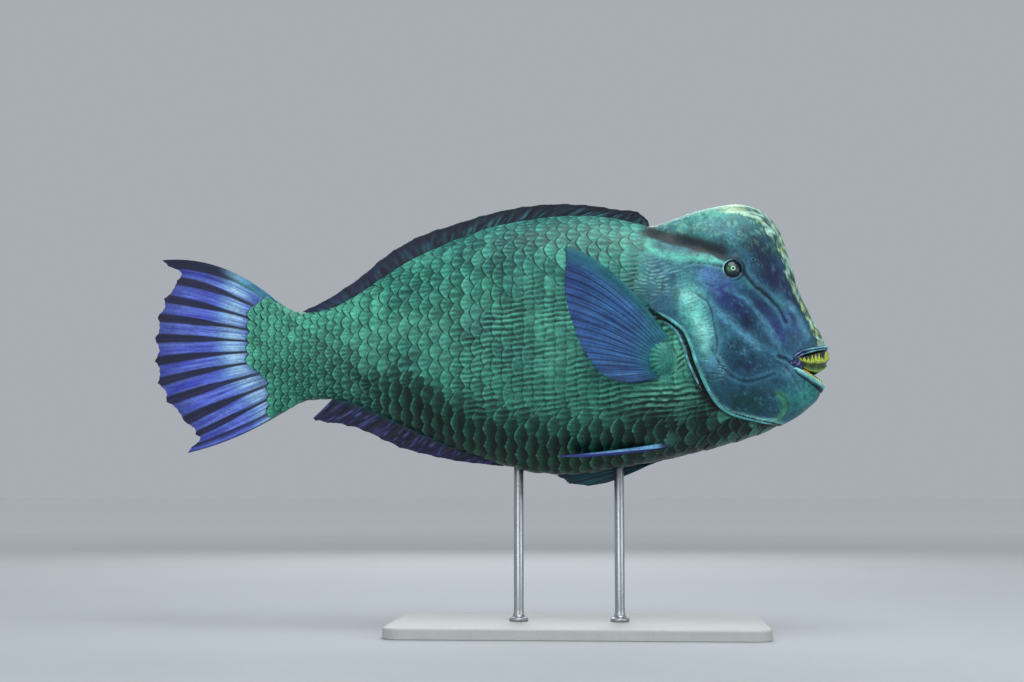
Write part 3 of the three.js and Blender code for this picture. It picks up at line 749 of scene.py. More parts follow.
def blob(x, z, cx, cz, rx, rz, turn=0.0):
    # 1 at a place in side view, fading outwards over an ellipse turned by some degrees
    c, s = math.cos(math.radians(turn)), math.sin(math.radians(turn))
    u, v = (x - cx) * c + (z - cz) * s, -(x - cx) * s + (z - cz) * c
    return np.exp(-((u / rx) ** 2 + (v / rz) ** 2))


markings = {
    "flank": (38, 122, 104),
    # pale teal for pale patches on the upper flank, and the painted highlight on scale rims, ribs and crests
    "flankPaleAndHighlight": (104, 202, 176),
    "flankDark": (10, 74, 78),
    "back": (48, 112, 112),
    # dark green belly, deepened with painted shade
    "belly": (8, 50, 44),
    # near-black painted shade under the head, between the folds and in the grooves round the fin's pad
    "throat": (5, 30, 30),
    "stalk": (52, 138, 110),
    "nape": (62, 150, 142),
    "face": (36, 84, 108),
    "violet": (50, 62, 138),
    "violetPale": (88, 130, 188),
    "cheekPale": (84, 148, 176),
    "navy": (14, 26, 62),
    "deep": (10, 34, 46),
    "hump": (54, 122, 122),
    "humpSpeck": (132, 206, 176),
    "hollowDarkAndShade": (5, 24, 34),
    "ridge": (92, 192, 172),
    "cover": (84, 186, 172),
    # pale cyan painted as light on the gill cover: highlight patches, lit edges and wrinkle crests
    "coverHighlight": (152, 224, 216),
    "chin": (52, 146, 134),
    "chinDark": (12, 58, 62),
    "crescent": (66, 150, 92),
    "strip": (176, 224, 204),
    "stripYellow": (170, 204, 120),
    "stripDark": (14, 50, 54),
    # near-black painted shade in the creases of the face
    "crease": (5, 15, 28),
    "slit": (2, 5, 9),
    "pad": (34, 110, 104),
    # pale teal painted as highlight on top of the thick folds
    "fold": (116, 200, 166),
    # painted as light on the raised cushion of each belly scale
    "cushion": (44, 98, 66),
    "stripEdge": (208, 232, 190),
}
markColours = {name: colour(*value) for name, value in markings.items()}
# the dark band behind the eye, in the hollow behind the hump: partly dark skin, partly painted shade
napeLine = [[240, 180], [256, 173], [279, 163], [305, 155], [330, 147], [353, 139], [373, 131], [392, 122]]
# patches on the head: colour, x, z, half sizes along and across, turn in degrees, strength
headPatches = [
    ("hump", 350, 185, 110, 44, 6, 1.0),
    # a pale band along the top of the hump: painted highlight
    ("ridge", 360, 200, 60, 14, 4, 0.30),
    ("cheekPale", 372, 176, 26, 12, -20, 0.35),
    ("deep", 432, 142, 34, 26, -60, 0.80),
    ("navy", 454, 96, 56, 22, -62, 0.95),
    ("navy", 481, 52, 44, 13, -66, 0.85),
    ("violet", 470, 34, 40, 11, -62, 0.50),
    ("chin", 462, 54, 16, 8, -58, 0.45),
    ("violetPale", 352, 92, 30, 19, -12, 0.75),
    ("violet", 372, 76, 20, 12, -35, 0.65),
    ("violet", 386, 48, 26, 15, -45, 0.75),
    ("navy", 402, 34, 40, 15, -46, 0.92),
    ("navy", 437, 36, 50, 13, -58, 0.90),
    ("violet", 452, 12, 30, 12, -60, 0.55),
    ("navy", 404, -44, 40, 13, -6, 0.72),
    ("deep", 392, -20, 26, 14, 20, 0.45),
    ("cover", 326, 34, 21, 62, 12, 0.90),
    # pale patches on the gill cover: painted light
    ("coverHighlight", 318, 62, 18, 16, -30, 0.55),
    ("coverHighlight", 338, 4, 11, 32, 14, 0.70),
    ("cheekPale", 352, -44, 10, 16, 4, 0.60),
    ("chinDark", 404, -104, 56, 26, 6, 0.92),
    ("chinDark", 350, -76, 20, 14, -40, 0.55),
    ("chin", 500, -92, 24, 24, 50, 0.95),
    ("cheekPale", 474, -54, 14, 10, -50, 0.80),
    ("cheekPale", 484, -82, 10, 9, 0, 0.45),
    # a dark spot in the deep crease at the corner of the mouth: painted shade
    ("deep", 461, -36, 9, 6, -20, 0.90),
]
# soft lines on the head: colour, line in side view, half width, strength
headLines = [
    # a pale line along the ridge below the hollow: painted highlight
    ("ridge", [[244, 152], [272, 134], [303, 125], [337, 124], [366, 119]], 8, 0.85),
    ("cheekPale", [[352, 48], [370, 30], [388, 14], [410, -6], [424, -16]], 6.5, 0.85),
    ("cheekPale", [[375, 73], [405, 59], [428, 33], [450, 5]], 2.6, 0.55),
    ("cheekPale", [[434, 20], [446, 2], [458, -14]], 6, 0.55),
    ("cheekPale", [[476, 50], [488, 36], [498, 16], [508, 0]], 5.5, 0.65),
    # a dark line along the fold in front of the eye: painted shade in the fold
    ("deep", [[404, 100], [420, 80], [438, 65], [456, 48]], 4.5, 0.75),
    ("chin", [[388, 112], [398, 94], [412, 80]], 5, 0.35),
    ("crescent", [[458, -92], [467, -98], [470, -109], [467, -121], [458, -131]], 6.5, 0.6),
    # a pale line along the cover's lower edge: painted highlight
    ("coverHighlight", [[398, -128], [430, -131], [455, -132]], 2.6, 0.5),
]


def slitShade(x, z):
    # the dark of the gill opening, wider lower down
    wide = 7 + 9 * smooth(z, -10, -70) - 9 * smooth(z, -100, -130)
    shade = np.exp(-(distanceTo(gillSlit, x, z) / wide) ** 4)
    return shade * (inFrontOfGill(x, z) < 0.5) * smooth(z, 52, 34)


def headColours(x, y, z):
    m = markColours
    patchy, fine = rough(x, z, 19, 12), rough(x, z, 6, 31)
    h = np.tile(m["face"], (len(x), 1))
    for name, cx, cz, rx, rz, turn, strength in headPatches:
        near = blob(x + 4 * patchy + 1.5 * fine, z + 4 * rough(x, z, 21, 32), cx, cz, rx, rz, turn)
        h = tinted(h, strength * near * (1 + 0.25 * patchy + 0.15 * fine), m[name])
    for name, line, width, strength in headLines:
        away = distanceTo(line, x, z) * (1 + 0.22 * patchy) + 0.9 * fine
        h = tinted(h, strength * np.exp(-(away / width) ** 2), m[name])
    speck = smooth(rough(x, z, 2.6, 14) + 0.7 * rough(x, z, 9, 15), 0.1, 0.9)
    h = tinted(h, 0.42 * speck * smooth(z, 120, 178), m["humpSpeck"])
    dark = smooth(rough(x, z, 3.4, 33) + 0.5 * rough(x, z, 12, 34), 0.2, 0.9)
    h = tinted(h, 0.35 * dark, m["deep"])
    dots = smooth(rough(x, z, 3.2, 16) + 0.5 * rough(x, z, 13, 17), 0.45, 1.0)
    h = tinted(h, 0.30 * dots * smooth(z, 175, 60), m["cheekPale"])
    # the very top of the hump paler: painted highlight
    h = tinted(h, 0.45 * smooth(z, 190, 218) * smooth(x, 300, 350), m["humpSpeck"])
    # painted shade in each fold of the face, and a painted highlight on the swell beside it
    for line, depth, width in faceFolds:
        away = distanceTo(line, x, z) + 0.5 * rough(x, z, 9, 5)
        h = tinted(h, min(0.50 * depth, 0.92) * np.exp(-(away / (0.55 * width)) ** 2), m["crease"])
        h = tinted(h, 0.16 * depth * np.exp(-((away - 1.9 * width) / width) ** 2), m["cheekPale"])
    strip = roughStrip(x, y, z)
    edge = np.clip(4 * strip * (1 - strip), 0, 1)
    knob = np.clip(0.5 + 0.7 * rough(y, z, 5, 3) + 0.5 * rough(y, z, 2.7, 4), 0, 1)
    pale = tinted(np.tile(m["strip"], (len(x), 1)), smooth(rough(y, z, 15, 18), -0.2, 0.5), m["stripYellow"])
    band = tinted(np.tile(m["stripDark"], (len(x), 1)), 0.1 + 0.9 * knob ** 1.3, pale)
    holes = smooth(rough(y, z, 8, 35) + 0.4 * rough(y, z, 3, 36), 0.35, 0.7)
    h = tinted(h, strip, tinted(band, 0.85 * holes, m["stripDark"]))
    h = tinted(h, 0.62 * edge * (0.55 + 0.45 * knob), m["stripEdge"])
    # a dark line just inside the strip's edge: painted shadow beside the raised strip
    inner = smooth(roughStrip(x + 3.2, y, z) - strip, 0.2, 0.8)
    return tinted(h, 0.7 * inner * (1 - strip), m["stripDark"])


def bodyPaint(p):
    # the markings that skin and scales share
    x, y, z = p[:, 0], p[:, 1], p[:, 2]
    m = markColours
    broad, patchy = rough(x, z, 62, 11), rough(x, z, 19, 12)
    c = np.tile(m["flank"], (len(x), 1))
    c = tinted(c, smooth(z, 90, 200) * 0.7, m["back"])
    # pale patches fading out downwards: the flank's own paler tone, partly painted light from above
    pale = np.clip(0.20 + 0.9 * broad + 0.35 * patchy, 0, 1) * smooth(z, -120, 10)
    c = tinted(c, 0.80 * pale, m["flankPaleAndHighlight"])
    c = tinted(c, 0.65 * np.clip(-broad - 0.4 * patchy, 0, 1), m["flankDark"])
    c = tinted(c, smooth(x, -170, -300) * 0.6, m["stalk"])
    low = along(bellyLine, np.clip(x, skin["tail"], skin["snout"]))
    # the belly darker: its own darker colour, deepened with painted shade
    c = tinted(c, smooth(z - low, 135, 35) * (0.9 + 0.1 * broad) * smooth(x, -380, -200), m["belly"])
    # the throat under the head darkened to near-black: painted shade
    c = tinted(c, smooth(x, 170, 300) * smooth(z, -70, -125) * 0.96, m["throat"])
    c = tinted(c, 0.6 * blob(x, z, 240, 112, 64, 34), m["nape"])
    front = inFrontOfGill(x, z)
    onHead = smooth(front + 14 * patchy * smooth(z, 30, 70), -44, 26)
    onHead = onHead + (smooth(front, -1, 1) - onHead) * smooth(z, 66, 38)
    c = c * (1 - onHead[:, None]) + headColours(x, y, z) * onHead[:, None]
    # the hollow's band painted near-black, partly dark skin and partly painted shade
    band = z - np.interp(x, *np.array(napeLine).T) + 2.5 * patchy
    band = smooth(band, -13, -8) * smooth(band, 22, 6) * smooth(x, 238, 256) * smooth(x, 402, 368)
    c = tinted(c, 0.97 * band, m["hollowDarkAndShade"])
    # pale on the crests of the fine creases and wrinkles, dark in their grooves: painted light and shade
    wave, force = combLines(x, z)
    c = tinted(c, 0.42 * force * np.clip(wave, 0, 1) * onHead, m["coverHighlight"])
    c = tinted(c, 0.42 * force * np.clip(-wave, 0, 1) * onHead, m["chinDark"])
    wave, force = wrinkles(x, z)
    c = tinted(c, 0.34 * force * np.clip(wave, 0, 1), m["coverHighlight"])
    c = tinted(c, 0.40 * force * np.clip(-wave, 0, 1), m["chinDark"])
    gill = distanceTo(gillSlit, x, z)
    # a pale line along the cover's edge at the gill opening: painted highlight
    c = tinted(c, 0.45 * np.exp(-(gill / 3) ** 2) * (front >= 0.5) * smooth(z, 52, 34), m["coverHighlight"])
    behind = (front < 0) * 1.0
    # pale on top of each thick fold and near-black between them: painted light and shade
    patch, wave = foldPatch(x, z) * behind, foldWave(x, z)
    c = tinted(c, 0.85 * patch * smooth(wave, -0.1, 0.95), m["fold"])
    c = tinted(c, 0.92 * patch * smooth(wave, 0.1, -0.9), m["throat"])
    pad = smooth(padReach(x, z), 1.05, 0.8) * behind
    c = tinted(c, 0.75 * pad, m["pad"])
    # pale on the crests of the pad's arcs and rays, dark in their grooves: painted light and shade
    arcs = padArcs(x, z) * behind
    c = tinted(c, 0.38 * np.clip(arcs, 0, 1), m["flankPaleAndHighlight"])
    c = tinted(c, 0.50 * np.clip(-arcs, 0, 1), m["throat"])
    return np.clip(tinted(c, 0.98 * slitShade(x, z), m["slit"]), 0, 1)


def eyeSeat(side):
    # the skin's place over an eye, its outward direction and the eyeball's centre
    seat = sidePoint(eye["x"], eye["z"], side)
    ahead = sidePoint(eye["x"] + 4, eye["z"], side) - seat
    above = sidePoint(eye["x"], eye["z"] + 4, side) - seat
    outward = np.cross(ahead, above)
    outward /= np.linalg.norm(outward) * np.sign(outward[1] * side)
    return seat, outward, seat - outward * eye["sink"]


# what is cut out of the skin between the jaws, in side view
gape = [[474, -42], [493, -31], [516, -23], [562, -14], [562, -84], [534, -75], [508, -61], [486, -50]]
nostrils = [[420, 122], [431, 112]]
# what is cut off behind the scaled root of the tail
behindStalk = [
    [-366, 130], [-366, 72], [-386, 62], [-401, 44], [-402, 12], [-401, -22], [-384, -39],
    [-360, -50], [-318, -90], [-318, -160], [-460, -160], [-460, 130],
]


def meshValues(items, key, width=1, kind=np.int32):
    values = np.zeros(len(items) * width, kind)
    items.foreach_get(key, values)
    return values


def unwrapSkin(p, steps, corner, start, total, cut):
    # across along the fish, and upwards from back to belly and round again
    ends = [0.005, 0.995]
    u = np.interp(p[:, 0], steps, np.linspace(*ends, len(steps)) * 0.35
                  + 0.65 * np.interp(steps, [steps[0], steps[-1]], ends))
    uv = np.stack([u, aroundOf(p)], -1)[corner]
    # faces over the top keep both their ends on one side of the unwrap
    torn = np.maximum.reduceat(uv[:, 1], start) - np.minimum.reduceat(uv[:, 1], start) > 1.2
    uv[np.repeat(torn, total) & (uv[:, 1] < 0.6), 1] += 2
    uv[:, 1] = 0.004 + uv[:, 1] / 2 * 0.93
    # the cut faces lie in a strip of their own
    strip = np.stack([p[corner, 0] / 1200 + 0.45,
                      0.965 + 0.012 * np.sign(p[corner, 1]) + p[corner, 2] / 24000], -1)
    uv[cut] = strip[cut]
    return np.clip(uv, 0, 1)


def makeSkin():
    steps = skinSteps()
    turns = np.arange(skin["around"]) * 2 / skin["around"]
    # closer together on the flanks
    turns = turns + 0.5 * np.sin(2 * np.pi * turns) / (2 * np.pi)
    x, around = np.meshgrid(steps, turns, indexing="ij")
    points = skinPoint(x, around, skinRise(x, around)).reshape(-1, 3)
    rows, count = x.shape
    points = np.vstack([points, points[:count].mean(0), points[-count:].mean(0)])
    faces = [gridFaces(rows, count, closed=True), endFans(rows, count)]
    piece = makePiece("body_skin", points, faces, "scaled_skin", material=finish["skin"])
    tools = [sideBlade(gape, 120, finish["mouth"]), sideBlade(behindStalk, 120, finish["mouth"])]
    for side in (-1, 1):
        tools.append(ball(eyeSeat(side)[2], eye["radius"] + 0.4, finish["mouth"], segments=64))
        for nx, nz in nostrils:
            tools.append(ball(sidePoint(nx, nz, side), 1.8, finish["mouth"], (1.25, 1, 0.9), 24))
    cutAway(piece, tools)
    mesh = piece.data
    p = fromWorld(meshValues(mesh.vertices, "co", 3, np.float32).reshape(-1, 3))
    corner = meshValues(mesh.loops, "vertex_index")
    start, total = (meshValues(mesh.polygons, key) for key in ("loop_start", "loop_total"))
    names = [material.name for material in mesh.materials]
    cutFace = np.array([names[k] == "mouth" for k in meshValues(mesh.polygons, "material_index")])
    cut = np.repeat(cutFace, total)
    paint = bodyPaint(p)
    # the cut faces in the mouth, eye sockets, nostrils and behind the tail stalk painted near-black: painted
    # shade in these openings
    paint[corner[cut]] = colour(10, 22, 20)
    addMask(mesh, "paint", paint)
    layer = mesh.uv_layers.new(name="OFBake")
    layer.data.foreach_set("uv", unwrapSkin(p, steps, corner, start, total, cut).astype(np.float32).ravel())
    mesh.polygons.foreach_set("use_smooth", np.ones(len(total), bool))
    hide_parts("head", "forehead_hump", "torso", "tail_stalk")
    print("  skin faces", len(total))


makeSkin()

print("scales")

scales = {
    "pitch": 34.0,       # from one scale to the next in its row
    "tailPitch": 24.0,
    "row": 29.5,         # from row to row over the flank
    "tailRow": 19.0,
    "across": 32,        # points over one scale, from side to side
    "down": 15,          # and from its root to its rear edge
    "tilt": 3.3,         # the rear edge stands this far above the root
    "root": -2.3,
    "most": 150,         # scales in one piece of the coat
}


def makeArcTable():
    # the place around the body for a distance over the skin from the flank's middle line
    xs = np.linspace(skin["tail"] - 40, 400, 200)
    count = 801
    turns = np.linspace(0, 1, count)
    arcs = np.arange(-380, 381, 2.0)
    table = np.zeros((len(xs), len(arcs)))
    for i, x in enumerate(xs):
        p = skinPoint(np.full(count, max(x, skin["tail"])), turns)
        run = np.concatenate([[0], np.cumsum(np.linalg.norm(np.diff(p, axis=0), axis=1))])
        table[i] = np.interp(arcs, run - run[count // 2], turns)
    return xs, arcs, table


arcX, arcStep, arcTable = makeArcTable()


def aroundAt(x, arc):
    u = np.clip((x - arcX[0]) / (arcX[1] - arcX[0]), 0, len(arcX) - 1.001)
    v = np.clip((arc - arcStep[0]) / (arcStep[1] - arcStep[0]), 0, len(arcStep) - 1.001)
    i, j = u.astype(int), v.astype(int)
    a, b = u - i, v - j
    return ((arcTable[i, j] * (1 - a) + arcTable[i + 1, j] * a) * (1 - b)
            + (arcTable[i, j + 1] * (1 - a) + arcTable[i + 1, j + 1] * a) * b)


def tailwards(x):
    return smooth(x, -150, -330)


def placeScales():
    # one side's scales: x, distance from the flank's middle line, pitch and row height there
    found = []
    x, column = 444.0, 0
    while x > -404:
        shrink = tailwards(x)
        pitch = scales["pitch"] + (scales["tailPitch"] - scales["pitch"]) * shrink
        row = scales["row"] + (scales["tailRow"] - scales["row"]) * shrink
        for k in range(-14, 15):
            arc = (k + (0.5 if column % 2 else 0.0)) * row
            around = float(aroundAt(np.array(x), np.array(arc)))
            if not 0.015 < around < 0.985:
                continue
            base = skinPoint(np.array(x), np.array(around))
            front = float(x - gillX(base[2]))
            if front > 10 or (base[2] > 40 and front > -18):
                continue
            # none on the fin's pad, on thick folds or over the tail fin's rays
            if padReach(x, base[2]) < 0.98 or foldPatch(x - 6, base[2]) > 0.45:
                continue
            if x < -366 and abs(base[2] - 8) > 48 + (x + 402) * 0.4:
                continue
            found.append((x, arc, pitch, row))
        x -= pitch / 2
        column += 1
    return np.array(found)


def scaleShapes(side, spots):
    # every scale of one side at once: its points, paint and place on the unwrap
    down, across = scales["down"], scales["across"]
    s = np.linspace(0, 1, down)[None, :, None]
    s = 1 - (1 - s) ** 1.4
    t = np.linspace(-1, 1, across)[None, None, :]
    x0, arc0, pitch, row = (spots[:, k][:, None, None] for k in range(4))
    random = np.random.default_rng(place["seed"] + (3 if side > 0 else 5))
    n = len(spots)
    turn = random.normal(0, 0.035, (n, 1, 1))
    size = random.normal(1, 0.035, (n, 1, 1))
    lift = random.normal(0, 0.18, (n, 1, 1))
    tone = random.normal(0, 1, (n, 1, 1))
    phase = random.random((n, 1, 1)) * 6.28
    base = skinPoint(x0[:, 0, 0], aroundAt(x0[:, 0, 0], arc0[:, 0, 0]))
    z0 = base[:, 2][:, None, None]
    low = along(bellyLine, x0)
    onBelly = smooth(z0 - low, 105, 45) * smooth(x0, -250, -120) * smooth(x0, 330, 200)
    onBack = smooth(along(backLine, x0) - z0, 75, 15)
    midFlank = smooth(x0, -50, 110) * smooth(z0, -150, -105) * smooth(z0, 150, 90)
    half = 1.13 * row * size
    blunt = np.clip(midFlank + 0.55 * onBelly, 0, 1)
    taper = 1 - np.abs(t) ** (1.4 + 1.0 * blunt)
    edgeX = x0 + 0.24 * pitch - 0.76 * pitch * size * taper ** (0.76 - 0.24 * blunt)
    ragged = 0.35 * np.sin(t * 21 + phase) + 0.25 * np.sin(t * 34 + 2 * phase)
    edgeX = edgeX + ragged * (1 - np.abs(t)) * 0.8
    rootX = x0 + 0.86 * pitch
    x = rootX + (edgeX - rootX) * s
    arc = arc0 + t * half * (0.80 + 0.20 * np.sin(np.pi * np.clip(s * 0.9 + 0.1, 0, 1) ** 0.8))
    arc = arc + turn * (x - x0)
    around = aroundAt(x, arc)
    calm = 1 - 0.72 * onBack * smooth(x0, -220, -60) - 0.62 * midFlank
    length = 1.62 * pitch
    h = scales["root"] + scales["tilt"] * calm * np.clip((rootX - x) / length, 0, 1.1) + 0.9 * (1 - calm)
    h = h + lift * s * calm
    # fans of fine ribs, a thicker rim, a cushion on the belly
    fan = np.arctan2(t * half, x0 + 0.5 * pitch - x)
    out = smooth((x0 + 0.35 * pitch - x) / pitch, 0.05, 0.75)
    ribs = np.sin(fan * (15 + 5 * np.sin(phase)) + phase)
    h = h + 0.20 * ribs * out * (1 - 0.5 * onBack) * (1 - 0.6 * onBelly)
    h = h + 0.26 * np.exp(-((s - 0.93) / 0.035) ** 2) * calm
    cushion = (1 - t * t) ** 0.7 * np.sin(np.pi * np.clip((s - 0.22) / 0.78, 0, 1)) ** 0.7
    h = h + (2.7 * onBelly + 0.35) * cushion
    # wrinkles running along the flank over several scales
    z = skinPoint(x, around)[..., 2]
    wave = z - 0.12 * x + 3.2 * rough(x, z, 30, 20) + 1.2 * rough(x, z, 10, 21)
    crease = 1 - 2 * np.abs(np.cos(np.pi * wave / 8.6)) ** 1.7
    patch = smooth(rough(x, z, 46, 22) + 1.1 * smooth(x, -90, 130) - 0.9 * smooth(z, 20, 110), -0.35, 0.75)
    patch = patch * smooth(z, -140, -112) * smooth(x, -90, 0) * smooth(z, 125, 60)
    patch = patch * (0.7 + 0.5 * rough(x, z, 24, 37))
    shoulder = smooth(x, 205, 250) * smooth(z, -30, 20) * smooth(z, 150, 110)
    strength = np.clip(np.maximum(patch, shoulder), 0, 1)
    h = h + 1.05 * strength * (crease - 0.3) * smooth(s, 0.1, 0.3) * smooth(s, 1.0, 0.93)
    h = h + 0.22 * rough(x, z, 6.5, 23)
    point = skinPoint(x, around, h)
    paint = bodyPaint(point.reshape(-1, 3))
    m = markColours

    def flat(value):
        return np.broadcast_to(value, x.shape).reshape(-1)

    def shaded(amount):
        return paint * (1 - flat(amount))[:, None]

    paint = paint * (1 + 0.10 * flat(tone))[:, None]
    paint = tinted(paint, 0.16 * flat(np.clip(tone, 0, 2)) * flat(1 - onBelly), m["flankPaleAndHighlight"])
    # painted shadow cast by the scale in front over the front of each scale's visible part, stronger on the
    # belly
    paint = shaded(0.42 * smooth((x0 - x) / pitch, 0.25, -0.15))
    under = smooth((x0 - x) / pitch, 0.42, -0.02)
    paint = shaded(0.62 * onBelly * under)
    shade = smooth(x0, 170, 300) * smooth(z0, -70, -125)
    # a pale band just inside each scale's raised rim: painted highlight
    rimSheen = np.exp(-((s - 0.925) / 0.045) ** 2) * (0.42 - 0.25 * onBack - 0.2 * midFlank + 0.2 * onBelly)
    rimSheen = rimSheen * (1 - 0.6 * shade) * (0.75 + 0.25 * np.sin(phase))
    paint = tinted(paint, flat(rimSheen), m["flankPaleAndHighlight"])
    # pale on the crests of the fine ribs: painted highlight
    ribSheen = np.clip(ribs, 0, 1) * out * (1 - onBelly) * (1 - 0.7 * midFlank) * (1 - shade)
    paint = tinted(paint, 0.34 * flat(ribSheen), m["flankPaleAndHighlight"])
    # belly scales paler on their raised cushion and darker round its edge: painted light and shade
    paint = tinted(paint, 0.70 * flat(cushion * (1 - under) * onBelly * (1 - 0.7 * shade)), m["cushion"])
    paint = shaded(0.55 * onBelly * smooth(cushion, 0.75, 0.2) * smooth(s, 0.93, 0.86))
    # dark in the grooves between the ribs: painted shade
    paint = shaded(0.30 * np.clip(-ribs, 0, 1) * out)
    # dark in the grooves of the long wrinkles, pale on their crests: painted shade and highlight
    paint = shaded(0.66 * strength * np.clip(-crease, 0, 1))
    paint = tinted(paint, 0.42 * flat(strength * np.clip(crease, 0, 1) ** 1.5), m["flankPaleAndHighlight"])
    # a dark outline at the rear edge and softer ones at the sides: the scale's dark edge, deepened with painted
    # shadow in the gap beneath
    paint = shaded((0.88 - 0.30 * midFlank) * smooth(s, 0.95, 0.985))
    sides = smooth(np.abs(t), 0.90, 1.0) * smooth(s, 0.3, 0.6) * (1 - 0.6 * midFlank)
    paint = shaded(0.5 * sides)
    paint = tinted(paint, 0.97 * flat(slitShade(x, z)), m["slit"])
    # scales low down in front of the gill opening get the same painted shade
    paint = tinted(paint, 0.85 * flat((z < -95) * (inFrontOfGill(x, z) > -1)), m["throat"])
    uvSpot = np.stack([(x0[:, 0, 0] - skin["tail"]) / (skin["snout"] - skin["tail"]),
                       aroundAt(x0[:, 0, 0], arc0[:, 0, 0]) / 2], -1)
    if side > 0:
        point = point * np.array([1, -1, 1])
        uvSpot[:, 1] = 1 - uvSpot[:, 1]
    return point, np.clip(paint, 0, 1).reshape(point.shape), uvSpot


def makeScales():
    spots = placeScales()
    down, across = scales["down"], scales["across"]
    top = down * across
    index = np.arange(top).reshape(down, across)
    edge = np.concatenate([index[0], index[1:, -1], index[-1, -2::-1], index[-2:0:-1, 0]])
    grid = gridFaces(down, across)
    count = len(edge)
    k = np.arange(count)
    after = (k + 1) % count
    wall = np.stack([edge[after], edge[k], top + k, top + after], -1)
    under = np.stack([np.full(count, top + count), top + after, top + k], -1)
    # each scale's small patch on the unwrap
    patch = np.stack(np.meshgrid(np.linspace(-1, 1, down), np.linspace(-1, 1, across), indexing="ij"), -1)
    patch = patch.reshape(-1, 2)
    patch = np.vstack([patch, patch[edge] * 0.98, [[0, 0]]]) * 0.0014
    number = 0
    for side in (-1, 1):
        for first in range(0, len(spots), scales["most"]):
            point, paint, uvSpot = scaleShapes(side, spots[first:first + scales["most"]])
            n = len(point)
            point, paint = point.reshape(n, top, 3), paint.reshape(n, top, 3)
            # the underside: the rim again, sunk into the skin, and one middle point, all painted near-black as
            # shade in the gap under each scale's edge
            centre = point.mean(1, keepdims=True)
            inward = -centre * np.array([0, 1, 1])
            inward = inward / np.linalg.norm(inward, axis=-1, keepdims=True)
            sunk = point[:, edge] + inward * 2.4
            point = np.concatenate([point, sunk, centre + inward * 3.4], 1)
            dark = np.tile(colour(6, 24, 24), (n, count + 1, 1))
            paint = np.concatenate([paint, dark], 1)
            base = (np.arange(n) * (top + count + 1))[:, None, None]
            quads = np.concatenate([(grid[None] + base).reshape(-1, 4), (wall[None] + base).reshape(-1, 4)])
            tris = (under[None] + base).reshape(-1, 3)
            if side > 0:
                quads, tris = quads[:, ::-1], tris[:, ::-1]
            uv = ((uvSpot * 0.98 + 0.01)[:, None, :] + patch[None]).reshape(-1, 2)
            corners = np.concatenate([quads.ravel(), tris.ravel()])
            number += 1
            makePiece(f"scales_{number}", point.reshape(-1, 3), [quads, tris], "scaled_skin",
                      material=finish["scales"], uv=uv[corners], masks={"paint": paint.reshape(-1, 3)})
            print("  scale piece", number, "triangles", 2 * len(quads) + len(tris))


makeScales()

print("fins")


def sheetPiece(name, near, far, slot, replaces, look, paint):
    # a closed thin sheet from two faces of points, [across, out, xyz]
    columns, rows = near.shape[:2]
    size = columns * rows
    grid = gridFaces(columns, rows)
    points = np.vstack([near.reshape(-1, 3), far.reshape(-1, 3)])
    i, j = np.arange(columns - 1), np.arange(rows - 1)
    rim = [(i * rows, (i + 1) * rows), ((i + 1) * rows + rows - 1, i * rows + rows - 1),
           (j + 1, j), ((columns - 1) * rows + j, (columns - 1) * rows + j + 1)]
    a, b = (np.concatenate([pair[k] for pair in rim]) for k in (0, 1))
    wall = np.stack([a, a + size, b + size, b], -1)
    faces = np.concatenate([grid, grid[:, ::-1] + size, wall])
    u, v = np.meshgrid(np.linspace(0, 1, columns), np.linspace(0, 1, rows), indexing="ij")
    flat = np.stack([0.01 + 0.47 * u, 0.02 + 0.96 * v], -1).reshape(-1, 2)
    uv = np.concatenate([flat[grid], (flat + [0.5, 0])[grid[:, ::-1]], flat[np.stack([a, a, b, b], -1)]])
    if facesInward(points, faces):
        faces, uv = faces[:, ::-1], uv[:, ::-1]
    paint = np.vstack([paint.reshape(-1, 3)] * 2)
    makePiece(name, points, faces, slot, replaces, finish[look], uv.reshape(-1, 2), {"paint": paint})


def finGrid(fin):
    # middle surface, sideways direction, and how far across (u) and out (v) each point lies
    rays, each, rows = fin["rays"], fin["each"], fin["rows"]
    columns = (rays - 1) * each + 1
    u = np.linspace(0, 1, columns)
    v = np.linspace(0, 1, rows)
    root, bend, rim = (fin[key](u) if callable(fin[key]) else smoothCurve(fin[key], columns)
                       for key in ("root", "bend", "rim"))
    beat = u * (rays - 1)
    groove = 0.5 - 0.5 * np.cos(2 * np.pi * beat)
    ragged = 0.5 * np.sin(beat * 9.1) + 0.5 * np.sin(beat * 23.7 + 1)
    scallop = fin["scallop"] * np.abs(np.sin(np.pi * (beat + fin["shift"])))
    reach = 1 - scallop - fin["ragged"] * (1 + ragged) / 2
    out = v[None, :] * (1 - (1 - reach[:, None]) * v[None, :] ** 2)
    w = out[..., None]
    middle = root[:, None] * (1 - w) ** 2 + bend[:, None] * 2 * w * (1 - w) + rim[:, None] * w ** 2
    across = np.gradient(middle, axis=0)
    outward = np.gradient(middle, axis=1)
    normal = np.cross(across, outward)
    normal /= np.maximum(np.linalg.norm(normal, axis=-1, keepdims=True), 1e-9)
    u, v = np.meshgrid(u, v, indexing="ij")
    return middle, normal, u, v, np.broadcast_to(groove[:, None], u.shape)


def rayHeight(u, v, rays):
    # 1 on a ray and 0 in the web: a ray splits in two and then in four on its way out
    beat = u * (rays - 1)
    one = np.abs(np.cos(np.pi * beat)) ** 4
    two = np.abs(np.sin(2 * np.pi * beat)) ** 2.5
    four = np.abs(np.sin(4 * np.pi * beat)) ** 2
    first, second = smooth(v, 0.18, 0.42), smooth(v, 0.55, 0.78)
    fan = one * (1 - first) + (0.45 * one + two * 0.75) * first * (1 - second)
    return fan + (0.35 * two + 0.25 * one + 0.6 * four) * second


